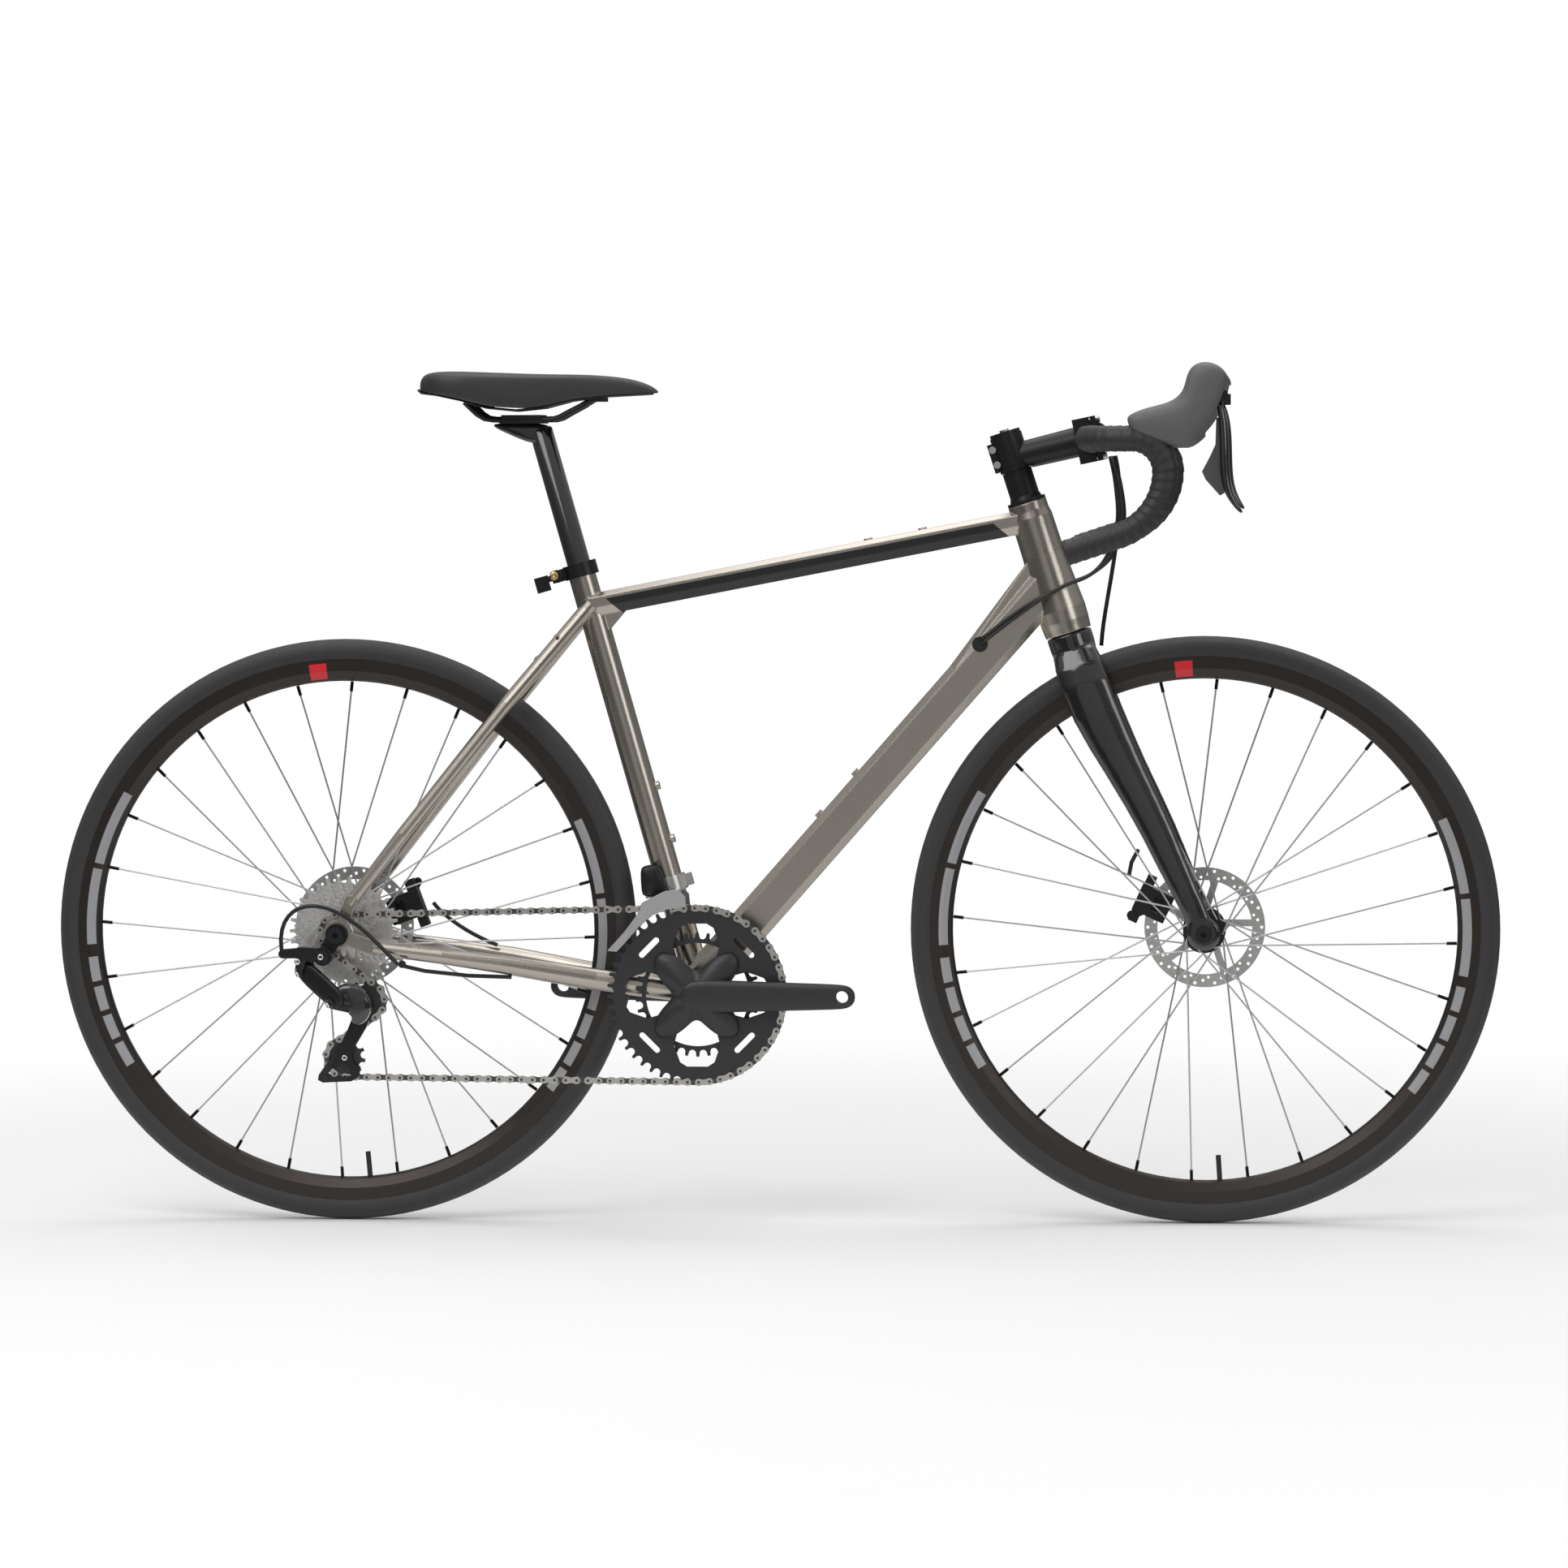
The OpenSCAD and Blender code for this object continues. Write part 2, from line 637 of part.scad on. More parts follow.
module crank_right() {
    color([0.20, 0.20, 0.21])
        difference() {
            union() {
                arm_shape(-1, 1);
                plate_y(-arm_in - 3, -51.25)
                    translate([bb_x, bb_z]) {
                        circle(28);
                        for (a = web_angles) rotate(a) link_2d([15, 0], [bolt_circle, 0], 9.5);
                    }
                disc_y([bb_x, -48.5, bb_z], 20, 8);
                rod(crank_at + [0, -50, 0], crank_at + [0, 62, 0], 12);
            }
            rod(crank_at + [0, -40, 0], crank_at + [0, 63, 0], 8);
            for (a = web_angles)
                disc_y(crank_at + bolt_circle * [cos(a), 0, sin(a)] + [0, -48.9, 0], 5.05, 10.1);
            disc_y(crank_at + [crank_len, -arm_in - 13, 0], 7.14, 20);
        }
}

module crank_left() {
    color([0.20, 0.20, 0.21])
        difference() {
            union() {
                arm_shape(1, -1);
                disc_y(crank_at + [0, 51, 0], 19, 13);
            }
            disc_y(crank_at + [0, 53.1, 0], 12.05, 18);
            disc_y(crank_at + [-crank_len, arm_in + 13, 0], 7.14, 20);
        }
}

plate_gap = 1.75;
plate_t = 1;
plate_h = 4;
chain_count = len(chain_points);
function chain_at(i) = chain_points[(i + chain_count) % chain_count];
function chain_normal(i) =
    let (d = unit(chain_at(i + 1) - chain_at(i - 1))) unit(cross([0, 1, 0], d));
module chain_side(y1, y2) {
    pts = [for (i = [0:chain_count - 1])
        let (p = chain_at(i), n = plate_h * chain_normal(i))
        each [p + n + [0, y1, 0], p + n + [0, y2, 0], p - n + [0, y2, 0], p - n + [0, y1, 0]]];
    polyhedron(points = pts, convexity = 12, faces = [for (i = [0:chain_count - 1]) for (k = [0:3])
        let (j = (i + 1) % chain_count, m = (k + 1) % 4) [i * 4 + k, j * 4 + k, j * 4 + m, i * 4 + m]]);
}
module chain() {
    color([0.62, 0.62, 0.60]) {
        chain_side(-plate_gap - plate_t, -plate_gap);
        chain_side(plate_gap, plate_gap + plate_t);
        for (p = chain_points) {
            disc_y(p, roller_r - 0.4, 2 * plate_gap - 0.4);
            disc_y(p, 1.8, 2 * plate_gap + 2 * plate_t - 0.1);
        }
    }
}

// ---------- Rear derailleur ----------

// The link swings about one slanted axis at each end, so the knuckle moves inward, down and back
link_axis = [0.69, 0.554, 0.466];
link_top = [-537, -82, 301];
link_low = link_top + [38.2, -18.7, -34.4];
cage_pivot = [-473, 257];
module on_link(at) { translate(at) rotate([0, acos(link_axis.z), heading(link_axis)]) children(); }
module pin_on(at, r, h) { on_link(at) cylinder(h = h, r = r, center = true); }

module derailleur_bracket() {
    color([0.10, 0.10, 0.11]) {
        difference() {
            union() {
                disc_y([hanger_bolt.x, -91, hanger_bolt.y], 11, 13.2);
                hull() {
                    disc_y([hanger_bolt.x, -91, hanger_bolt.y], 9, 10);
                    disc_y([-541, -92, 320], 7, 9);
                }
                for (s = [-1, 1])
                    hull() {
                        on_link(link_top)
                            translate([0, 0, s * 8.6]) cylinder(h = 3, r = 6.4, center = true, $fn = 32);
                        disc_y([-538, -91, 319], 6, 8, $fn = 32);
                    }
                hull() {
                    disc_y([-541, -91, 320], 6, 8);
                    disc_y([-561, -90, 319], 5.2, 8);
                }
            }
            disc_y([hanger_bolt.x, -90, hanger_bolt.y], 5.05, 30);
            on_link(link_top) cylinder(h = 14, r = 8.2, center = true);
        }
        pin_on(link_top, 3, 18);
        rod([hanger_bolt.x, -79.2, hanger_bolt.y], [hanger_bolt.x, -99, hanger_bolt.y], 5);
        disc_y([hanger_bolt.x, -99.2, hanger_bolt.y], 7.5, 3);
    }
}

module derailleur_link() {
    color([0.08, 0.08, 0.09])
        difference() {
            hull() {
                pin_on(link_top, 7, 13.8, $fn = 32);
                pin_on(link_low, 7, 13.8, $fn = 32);
            }
            pin_on(link_top, 3 + gap, 30);
            pin_on(link_low, 3 + gap, 30);
        }
}

module derailleur_knuckle() {
    color([0.10, 0.10, 0.11]) {
        difference() {
            union() {
                for (s = [-1, 1])
                    hull() {
                        on_link(link_low) translate([0, 0, s * 8.6])
                            cylinder(h = 3, r = 6.4, center = true, $fn = 32);
                        disc_y([cage_pivot.x, -84, cage_pivot.y], 9, 10, $fn = 32);
                    }
                disc_y([cage_pivot.x, -79.6, cage_pivot.y], 14, 22);
            }
            on_link(link_low) cylinder(h = 14, r = 8.2, center = true);
        }
        pin_on(link_low, 3, 18);
        disc_y([cage_pivot.x, -72, cage_pivot.y], 4, 10.4);
    }
}

module cage_2d() {
    difference() {
        union() {
            link_2d(guide_at, tension_at, 9);
            translate(guide_at) circle(14);
            translate(tension_at) circle(14);
            polygon([tension_at + [-28, -20], tension_at + [-8, -22], tension_at + [13, -8],
                tension_at + [6, 12], tension_at + [-12, 6]]);
        }
        translate(guide_at) circle(2.9);
        translate(tension_at) circle(2.9);
    }
}
module derailleur_cage() {
    color([0.09, 0.09, 0.10]) {
        for (s = [-1, 1])
            plate_y(cog_y + s * 4.6 - 0.8, cog_y + s * 4.6 + 0.8)
                difference() {
                    cage_2d();
                    if (s < 0) translate(cage_pivot) circle(4 + gap);
                }
        for (p = [guide_at, tension_at]) disc_y([p.x, cog_y + 0.4, p.y], 3, 10);
    }
}
module pulley(at, i) {
    color([0.12, 0.12, 0.13])
        plate_y(cog_y - 1, cog_y + 1)
            translate(at)
                difference() {
                    sprocket_2d(pulley_teeth, angle_in(i), pulley_tip);
                    circle(3.1);
                }
}
module guide_pulley() { pulley(guide_at, 2); }
module tension_pulley() { pulley(tension_at, 1); }

// ---------- Front derailleur ----------

fd_low = 121;
module front_derailleur_bracket() {
    color([0.30, 0.30, 0.31])
        difference() {
            union() {
                on_seat(fd_low) cylinder(h = 18, r = 19.5);
                on_seat(fd_low) translate([-29, -25.8, 1]) cube([16, 16, 16]);
                on_seat(fd_low) translate([16, -5, 2]) cube([11, 10, 14]);
            }
            on_seat(fd_low - 1) cylinder(h = 20, r = 15.9 + gap);
            on_seat(fd_low - 1) translate([14, -0.6, 0]) cube([16, 1.2, 20]);
            for (z = [5, 13])
                on_seat(fd_low)
                    translate([-24.5, 0, z]) rotate([90, 0, 0]) cylinder(h = 60, r = 2 + gap, center = true);
        }
}
// Two guide plates beside the chain, joined over the top, on an arm with two sliding pins
module front_derailleur_cage() {
    wedge = [[12, 90], [12, 150], [-130, 150], [-130, 50], [-90, 50]];
    color([0.66, 0.66, 0.66]) {
        plate_y(-57.1, -55.9) translate([bb_x, bb_z]) intersection() {
            ring_2d(121, 107.2);
            polygon(wedge);
        }
        plate_y(-45.1, -43.9) translate([bb_x, bb_z]) intersection() {
            ring_2d(121, 97);
            polygon(wedge);
        }
        plate_y(-57.1, -43.9) translate([bb_x, bb_z]) intersection() {
            ring_2d(121, 119.5);
            polygon([[-12, 90], [-12, 150], [-70, 150], [-56, 105]]);
        }
        hull() {
            translate([bb_x - 42, -49, bb_z + 115]) cube([14, 8, 3], center = true);
            on_seat(fd_low) translate([-30, -38, 2]) cube([12, 4, 15]);
        }
        for (z = [5, 13])
            on_seat(fd_low)
                translate([-24.5, -23, z]) rotate([90, 0, 0]) cylinder(h = 24, r = 2, center = true);
    }
}
module ring_2d(outer, inner) {
    difference() {
        circle(outer, $fn = 96);
        circle(inner, $fn = 96);
    }
}

// ---------- Fork, headset and cockpit ----------

// Each row of a leg: distance below the head tube, half depth, forward offset, sideways centre, half width
leg_rows = [
    [40, 26, 0, 19, 11], [92, 24, 1, 33, 10], [160, 18, 10, 40.25, 9],
    [225, 15.5, 23, 45.5, 8], [290, 14, 33.5, 50.75, 7], [332, 14, 40, 56, 6]];
function leg_ring(row, side) =
    let (c = steer_point(head_low - row[0]))
    [for (k = [0:15])
        let (a = 360 * k / 16)
        [c.x + row[2] + row[1] * sin(a), side * row[3] + row[4] * cos(a), c.z - row[1] * sin(a) * 0.3]];
module fork_leg(side) { loft([for (row = leg_rows) leg_ring(row, side)]); }

module fork() {
    color([0.05, 0.05, 0.06])
        difference() {
            union() {
                on_steer(head_low - 0.4) rotate([180, 0, 0]) cylinder(h = 30, r1 = 26.4, r2 = 25.5);
                for (s = [-1, 1]) fork_leg(s);
                for (s = [-1, 1]) {
                    disc_y([front_x, s * 56, wheel_r], 19, 11.9);
                    plate_y(s > 0 ? 50.05 : -61.95, s > 0 ? 61.95 : -50.05)
                        link_2d([front_x, wheel_r], [front_x - 15, wheel_r + 26], 12);
                }
                on_steer(head_low - 2) cylinder(h = 30, r = 19);
                on_steer(head_low + 20) cylinder(h = 60, r1 = 19, r2 = 14.3);
                on_steer(head_low + 70) cylinder(h = clamp_top - head_low - 73, r = 14.3);
            }
            disc_y(front_axle_at, 6.05, 140);
            on_steer(head_low + 60) cylinder(h = 300, r = 11.5);
            disc_y(front_axle_at, wheel_r + 6, 37);
        }
}

module headset_spacers() {
    color([0.09, 0.09, 0.10]) {
        on_steer(head_top + 0.1)
            difference() {
                union() {
                    cylinder(h = 4, r = 22.4);
                    cylinder(h = 9, r1 = 20, r2 = 17.5);
                }
                bore(14.35, 9);
            }
        for (k = [0:2])
            on_steer(head_top + 9.2 + 10.2 * k)
                difference() {
                    cylinder(h = 10.1, r = 17.2);
                    bore(14.35, 10.1);
                }
        on_steer(clamp_top + 0.1)
            difference() {
                cylinder(h = 4, r = 17.8);
                bore(3.1, 4);
            }
    }
}

module stem_body_cut() {
    translate(bar_at) rotate([0, -stem_rise, 0]) translate([0.6, -40, -40]) cube([80, 80, 80]);
}
module stem() {
    color([0.13, 0.13, 0.14])
        difference() {
            union() {
                on_steer(clamp_low) cylinder(h = clamp_top - clamp_low, r = 18.8);
                on_steer(clamp_low + 3) translate([-24, -9, 0]) cube([12, 18, 34]);
                rod(steer_point(stem_at - 2) + [9, 0, 2], bar_at - [12, 0, 2], 16, 17.5);
                translate(bar_at) rotate([0, -stem_rise, 0]) translate([-19, -21, -26]) cube([19.6, 42, 52]);
            }
            stem_body_cut();
            on_steer(clamp_low - 20) cylinder(h = 20, r = 19);
            on_steer(clamp_low - 1) cylinder(h = clamp_top - clamp_low + 2, r = 14.35);
            disc_y(bar_at, 15.95, 60);
            on_steer(clamp_low - 1) translate([-30, -1, 0]) cube([25, 2, 60]);
            for (z = [9, 27]) on_steer(clamp_low + 3 + z) translate([-19, 0, 0]) rotate([90, 0, 0])
                cylinder(h = 40, r = 2.55, center = true);
            for (y = [-15, 15]) for (z = [-21.8, 21.8])
                translate(bar_at) rotate([0, -stem_rise, 0]) translate([-14, y, z]) rotate([0, 90, 0])
                    cylinder(h = 30, r = 2.55);
        }
}
module stem_faceplate() {
    color([0.13, 0.13, 0.14])
        difference() {
            translate(bar_at)
                rotate([0, -stem_rise, 0])
                    intersection() {
                        union() {
                            rotate([90, 0, 0]) cylinder(h = 42, r = 20.5, center = true);
                            translate([0, -21, -26]) cube([8, 42, 52]);
                        }
                        translate([1.8, -30, -40]) cube([40, 60, 80]);
                    }
            disc_y(bar_at, 15.95, 60);
            for (y = [-15, 15]) for (z = [-21.8, 21.8])
                translate(bar_at) rotate([0, -stem_rise, 0]) translate([-4, y, z]) rotate([0, 90, 0])
                    cylinder(h = 30, r = 2.55);
            translate(bar_at) rotate([0, -stem_rise, 0]) translate([10, -9, -30]) cube([30, 18, 60]);
        }
}
module stem_bolts() {
    color([0.55, 0.55, 0.56]) {
        for (y = [-15, 15]) for (z = [-21.8, 21.8])
            translate(bar_at) rotate([0, -stem_rise, 0]) translate([-9, y, z]) rotate([0, 90, 0]) {
                cylinder(h = 20, r = 2.5);
                translate([0, 0, 17.1]) cylinder(h = 4, r = 4.1);
            }
        for (z = [9, 27])
            on_steer(clamp_low + 3 + z) translate([-19, 0, 0]) rotate([90, 0, 0]) {
                cylinder(h = 20, r = 2.5, center = true);
                translate([0, 0, 9.1]) cylinder(h = 4, r = 4.1);
            }
        on_steer(clamp_top - 20) cylinder(h = 25, r = 3);
        on_steer(clamp_top + 4.2) cylinder(h = 2.5, r = 5.5);
    }
}

// Bar outline: half of the bar, made of straight runs and arcs
bar_half = bar_width / 2;
corner_r = 50;
hook_r = 37;
drop_r = 75;
drop_turn = 72;
drop_len = 60;
function arc_at(c, r, a0, a1, n) =
    [for (k = [1:n]) let (a = a0 + (a1 - a0) * k / n) c + r * [cos(a), sin(a)]];
// The bar seen from the side from its corner down, as X and Z
function hook_path() = concat(
    arc_at([bar_at.x + corner_r, bar_at.z - hook_r], hook_r, 90, 0, 7),
    arc_at([bar_at.x + corner_r + hook_r - drop_r, bar_at.z - hook_r], drop_r, 0, -drop_turn, 9));
function bar_path(side, from_y) = concat(
    [[bar_at.x, side * from_y, bar_at.z]],
    [[bar_at.x, side * (bar_half - corner_r), bar_at.z]],
    [for (p = arc_at([bar_at.x + corner_r, bar_half - corner_r], corner_r, 180, 90, 8))
        [p.x, side * p.y, bar_at.z]],
    [for (p = hook_path()) [p.x, side * bar_half, p.y]],
    [drop_end(side, drop_len)]);
function drop_foot(side) =
    [bar_at.x + corner_r + hook_r - drop_r, side * bar_half, bar_at.z - hook_r]
    + drop_r * [cos(drop_turn), 0, -sin(drop_turn)];
function drop_end(side, s) = drop_foot(side) - s * [sin(drop_turn), 0, cos(drop_turn)];

module handlebar() {
    color([0.11, 0.11, 0.12])
        difference() {
            union() {
                for (s = [-1, 1]) cord(bar_path(s, 50), bar_r, 20);
                rod([bar_at.x, -42, bar_at.z], [bar_at.x, 42, bar_at.z], 15.9);
                for (s = [-1, 1])
                    rod([bar_at.x, s * 42, bar_at.z], [bar_at.x, s * 62, bar_at.z], 15.9, bar_r + 0.3);
            }
            disc_y([bar_at.x, 0, bar_at.z], 10, 300);
            for (s = [-1, 1]) rod(drop_end(s, drop_len - 50), drop_end(s, drop_len + 1), 10);
        }
}
module bar_tapes() {
    color([0.15, 0.15, 0.16])
        for (s = [-1, 1]) {
            tube(bar_path(s, 66), bar_r + tape_t, bar_r + gap);
            rod(drop_end(s, drop_len - 20), drop_end(s, drop_len + 0.2), 10 - gap);
            rod(drop_end(s, drop_len + 0.2), drop_end(s, drop_len + 4), bar_r + 2.5, bar_r + 1);
        }
}

lever_pivot = [513, 0, 958];
hood_rows = [
    [418, 932, 8, 11], [436, 925, 15, 15], [455, 925, 18, 17], [474, 932, 20, 17], [490, 943, 21, 17],
    [503, 955, 22, 17], [510, 968, 20, 16], [512, 977, 12, 12]];
module hood(side) {
    loft([for (row = hood_rows)
        [for (k = [0:15])
            let (a = 360 * k / 16, lean = 28 + (row[0] - 418) * 0.3)
            [row[0] - row[2] * sin(a) * sin(lean), side * bar_half + row[3] * cos(a),
                row[1] + row[2] * sin(a) * cos(lean)]]]);
}
module hoods() {
    color([0.22, 0.22, 0.23])
        for (s = [-1, 1])
            difference() {
                hood(s);
                cord(bar_path(s, 100), bar_r + tape_t + 0.1, 20);
                translate([500.5, s * bar_half - 30, 900]) cube([40, 60, 69]);
            }
}

swing_z = 950;
module lever_yoke(side) {
    color([0.09, 0.09, 0.10])
        translate([0, side * bar_half, 0]) {
            difference() {
                union() {
                    disc_y(lever_pivot, 9, 20);
                    translate([508, -9, 947]) cube([22, 18, 13]);
                    translate([508, -9, 940]) cube([8.4, 18, 8]);
                }
                translate([516.5, -6.1, 930]) cube([9.5, 12.2, 25]);
            }
            rod([510, 0, swing_z], [529, 0, swing_z], 2);
        }
}
module lever_yoke_right() { lever_yoke(-1); }
module lever_yoke_left() { lever_yoke(1); }

// Rows of the lever: position, height, thickness and width
blade_rows = [[525.5, 932, 7, 7], [529, 914, 7, 15], [529, 870, 7, 17], [534, 838, 6, 15], [543, 825, 5, 10]];
module blade_block(row) { translate([row[0], 0, row[1]]) cube([row[2], row[3], 5], center = true); }
module lever_blade(side) {
    color([0.12, 0.12, 0.13])
        translate([0, side * bar_half, 0])
            difference() {
                union() {
                    hull() {
                        rod([517, 0, swing_z], [524, 0, swing_z], 3.5, $fn = 32);
                        blade_block(blade_rows[0]);
                    }
                    for (i = [0:len(blade_rows) - 2])
                        hull() {
                            blade_block(blade_rows[i]);
                            blade_block(blade_rows[i + 1]);
                        }
                }
                rod([515, 0, swing_z], [527, 0, swing_z], 2 + gap);
            }
}
module brake_lever_right() { lever_blade(-1); }
module brake_lever_left() { lever_blade(1); }

module shift_paddle(side) {
    color([0.30, 0.31, 0.33])
        plate_y(side * bar_half - 1.5 - side * 3, side * bar_half + 1.5 - side * 3)
            polygon([[517, 930], [521, 930], [524, 913], [524.5, 868], [526, 846], [521, 843],
                [505, 861], [501, 870], [510, 887], [516, 900]]);
}
module shift_paddle_right() { shift_paddle(-1); }
module shift_paddle_left() { shift_paddle(1); }

// ---------- Cable housings ----------

housing_r = 2.4;
module frame_housings() {
    color([0.10, 0.10, 0.11]) {
        cord(curve([[-330, 46, 318], [-365, 56, 330], [-395, 62, 350], [-408, 67, 366]], 10), housing_r);
        cord([[-300, -54, 289], [-350, -58, 291], [-400, -65, 297], [-424, -69, 303]], housing_r);
        disc_y([-424, -79.5, 306], 4.2, 5);
        for (s = [-1, 1]) disc_y([243, s * 22.5, 672], 9, 2.8);
    }
}
module derailleur_housing() {
    color([0.13, 0.13, 0.14])
        cord(curve([[-428, -84, 306], [-470, -92, 350], [-500, -92, 392], [-572, -90, 392],
            [-563, -90, 323]], 20), housing_r);
}
module bar_housings() {
    color([0.10, 0.10, 0.11])
        for (s = [-1, 1]) {
            cord(curve([[394, s * 40, 888], [412, s * 40, 850], [424, s * 44, 770], [360, s * 46, 730],
                [300, s * 34, 700], [247, s * 24.6, 674]], 22), housing_r);
            cord(curve([[394, s * 52, 888], [424, s * 62, 840], [436, s * 66, 752], [366, s * 60, 716],
                [300, s * 42, 690], [239, s * 24.6, 668]], 22), housing_r);
        }
}
module front_brake_housing() {
    color([0.10, 0.10, 0.11]) {
        cord(
            curve([[398, 30, 888], [408, 30, 850], [404, 30, 780], [384, 34, 720], [381, 36, 668]], 16),
            housing_r);
        cord([[423, 44.5, 430], [415, 49, 415], [412, 52, 400]], housing_r);
    }
}

// ---------- Seat ----------

module seat_collar() {
    color([0.10, 0.10, 0.11]) {
        difference() {
            union() {
                on_seat(seat_top - 6) cylinder(h = 16, r = 20);
                on_seat(seat_top - 6) translate([-34, -10, 1]) cube([18, 20, 14]);
            }
            on_seat(seat_top - 7) cylinder(h = 7, r = 15.95);
            on_seat(seat_top - 1) cylinder(h = 20, r = post_r + 0.1);
            on_seat(seat_top - 7) translate([-36, -1, 0]) cube([24, 2, 20]);
            on_seat(seat_top + 2)
                translate([-27, 0, 0]) rotate([90, 0, 0]) cylinder(h = 60, r = 3.05, center = true);
        }
        on_seat(seat_top + 2) translate([-27, -18, 0]) rotate([-90, 0, 0]) cylinder(h = 36, r = 3);
        on_seat(seat_top + 2) translate([-27, -10.1, 0]) rotate([90, 0, 0]) cylinder(h = 8, r = 7.5);
        on_seat(seat_top + 2) translate([-27, cam_y, 0]) cylinder(h = 14, r = 2, center = true);
    }
}
cam_y = 18;
module seat_clamp_lever() {
    color([0.10, 0.10, 0.11])
        on_seat(seat_top + 2)
            difference() {
                union() {
                    translate([-27, cam_y, 0]) cylinder(h = 13, r = 6.3, center = true);
                    translate([-50, cam_y - 2, -3.5]) cube([20, 6, 7]);
                    translate([-58, cam_y - 1, -13]) cube([16, 6, 18]);
                }
                translate([-27, cam_y, 0]) cylinder(h = 20, r = 2 + gap, center = true);
                translate([-34, cam_y - 12, -3.3]) cube([14, 19, 6.6]);
            }
}

module seatpost() {
    color([0.06, 0.06, 0.07]) {
        on_seat(post_top - post_len)
            difference() {
                cylinder(h = post_len - 8, r = post_r);
                translate([0, 0, -1]) cylinder(h = 120, r = post_r - 2);
            }
        hull() {
            on_seat(post_top - 16) cylinder(h = 6, r = post_r + 0.8, $fn = 32);
            translate([-293, 0, 923]) rotate([90, 0, 0]) cylinder(h = 30, r = 6, center = true, $fn = 32);
            translate([-272, 0, 922]) rotate([90, 0, 0]) cylinder(h = 30, r = 6, center = true, $fn = 32);
        }
    }
}
rail_y = 22;
rail_z = 934;
module saddle_clamp() {
    color([0.09, 0.09, 0.10])
        difference() {
            union() {
                translate([-312, -29, rail_z - 4.8]) cube([50, 58, 4.6]);
                translate([-310, -29, rail_z + 0.2]) cube([46, 58, 5]);
                for (s = [-1, 1]) rod([-287 + s * 14, 0, rail_z - 0.3], [-287 + s * 14, 0, rail_z + 1], 4);
            }
            for (s = [-1, 1]) rod([-320, s * rail_y, rail_z], [-250, s * rail_y, rail_z], 3.6);
        }
}
module saddle_rails() {
    color([0.20, 0.20, 0.21])
        for (s = [-1, 1])
            cord(concat([[-352, s * 30, 954.5], [-346, s * 28, 948.5], [-338, s * 25, 940.5],
                [-330, s * 22.6, 935.6], [-320, s * rail_y, rail_z]],
                [[-250, s * rail_y, rail_z], [-243, s * 21, 936], [-233, s * 18, 941.5],
                [-214, s * 13, 951.3]]), 3.5, 12);
}

// Saddle rows: position, half width, top height, underside height
saddle_rows = [
    [-408, 30, 980, 967], [-402, 52, 987, 963.5], [-385, 68, 989.5, 961.5], [-355, 72, 988.5, 955],
    [-325, 66, 986, 946], [-295, 53, 984.5, 943], [-262, 38, 984, 946], [-230, 28, 984, 954],
    [-195, 23, 982.5, 958.5], [-165, 21, 977, 960], [-145, 17, 970, 961], [-136, 9, 965, 961.5]];
function saddle_ring(row, low, high) =
    [for (k = [0:19])
        let (a = 360 * k / 20, c = cos(a), s = sin(a),
            z0 = low == 0 ? row[3] : row[3] + 3, z1 = high == 0 ? row[3] + 2.9 : row[2],
            w = low == 0 ? row[1] * 0.86 : row[1])
        [row[0], w * sign(c) * pow(abs(c), 0.7), (z0 + z1) / 2 + (z1 - z0) / 2 * sign(s) * pow(abs(s), 0.8)]];
module saddle_cover() { color([0.13, 0.13, 0.14]) loft([for (r = saddle_rows) saddle_ring(r, 1, 1)]); }
module saddle_base() { color([0.07, 0.07, 0.08]) loft([for (r = saddle_rows) saddle_ring(r, 0, 0)]); }

module front_tyre() { tyre(front_axle_at); }
module rear_tyre() { tyre(rear_axle_at); }
module front_rim() { rim(front_axle_at, front_valve); }
module rear_rim() { rim(rear_axle_at, rear_valve); }
module front_spokes() { spokes(front_axle_at, front_valve, 21, 20, -34); }
module rear_spokes() { spokes(rear_axle_at, rear_valve, 22.5, 29, -19); }
module front_rotor() { rotor(front_axle_at, front_rotor_y, rotor_d / 2); }
module rear_rotor() { rotor(rear_axle_at, rear_rotor_y, rotor_d / 2); }
module front_axle() { axle_group(front_axle_at, 50, 46.5, 62); }
module rear_axle() { axle_group(rear_axle_at, 71, 66.5, 84.2); }

frame();
derailleur_hanger();
headset_bearings();
bottom_bracket();
rear_axle();
rear_caliper();
front_derailleur_bracket();
seat_collar();
chain();
frame_housings();
derailleur_housing();
bar_housings();
fork();
headset_spacers();
stem();
stem_faceplate();
stem_bolts();
handlebar();
bar_tapes();
hoods();
front_axle();
front_caliper();
front_brake_housing();
lever_yoke_right();
lever_yoke_left();
brake_lever_right();
brake_lever_left();
shift_paddle_right();
shift_paddle_left();
front_tyre();
front_rim();
front_spokes();
front_hub();
front_rotor();
rear_tyre();
rear_rim();
rear_spokes();
rear_hub();
rear_rotor();
cassette();
crank_right();
crank_left();
outer_chainring();
inner_chainring();
chainring_bolts();
derailleur_link();
derailleur_knuckle();
derailleur_bracket();
derailleur_cage();
guide_pulley();
tension_pulley();
front_derailleur_cage();
seatpost();
saddle_clamp();
saddle_rails();
saddle_base();
saddle_cover();
seat_clamp_lever();
rear_brake_arm();
front_brake_arm();
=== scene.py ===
import json
import math

import bmesh
import bpy
import numpy as np
from mathutils import Matrix, Vector


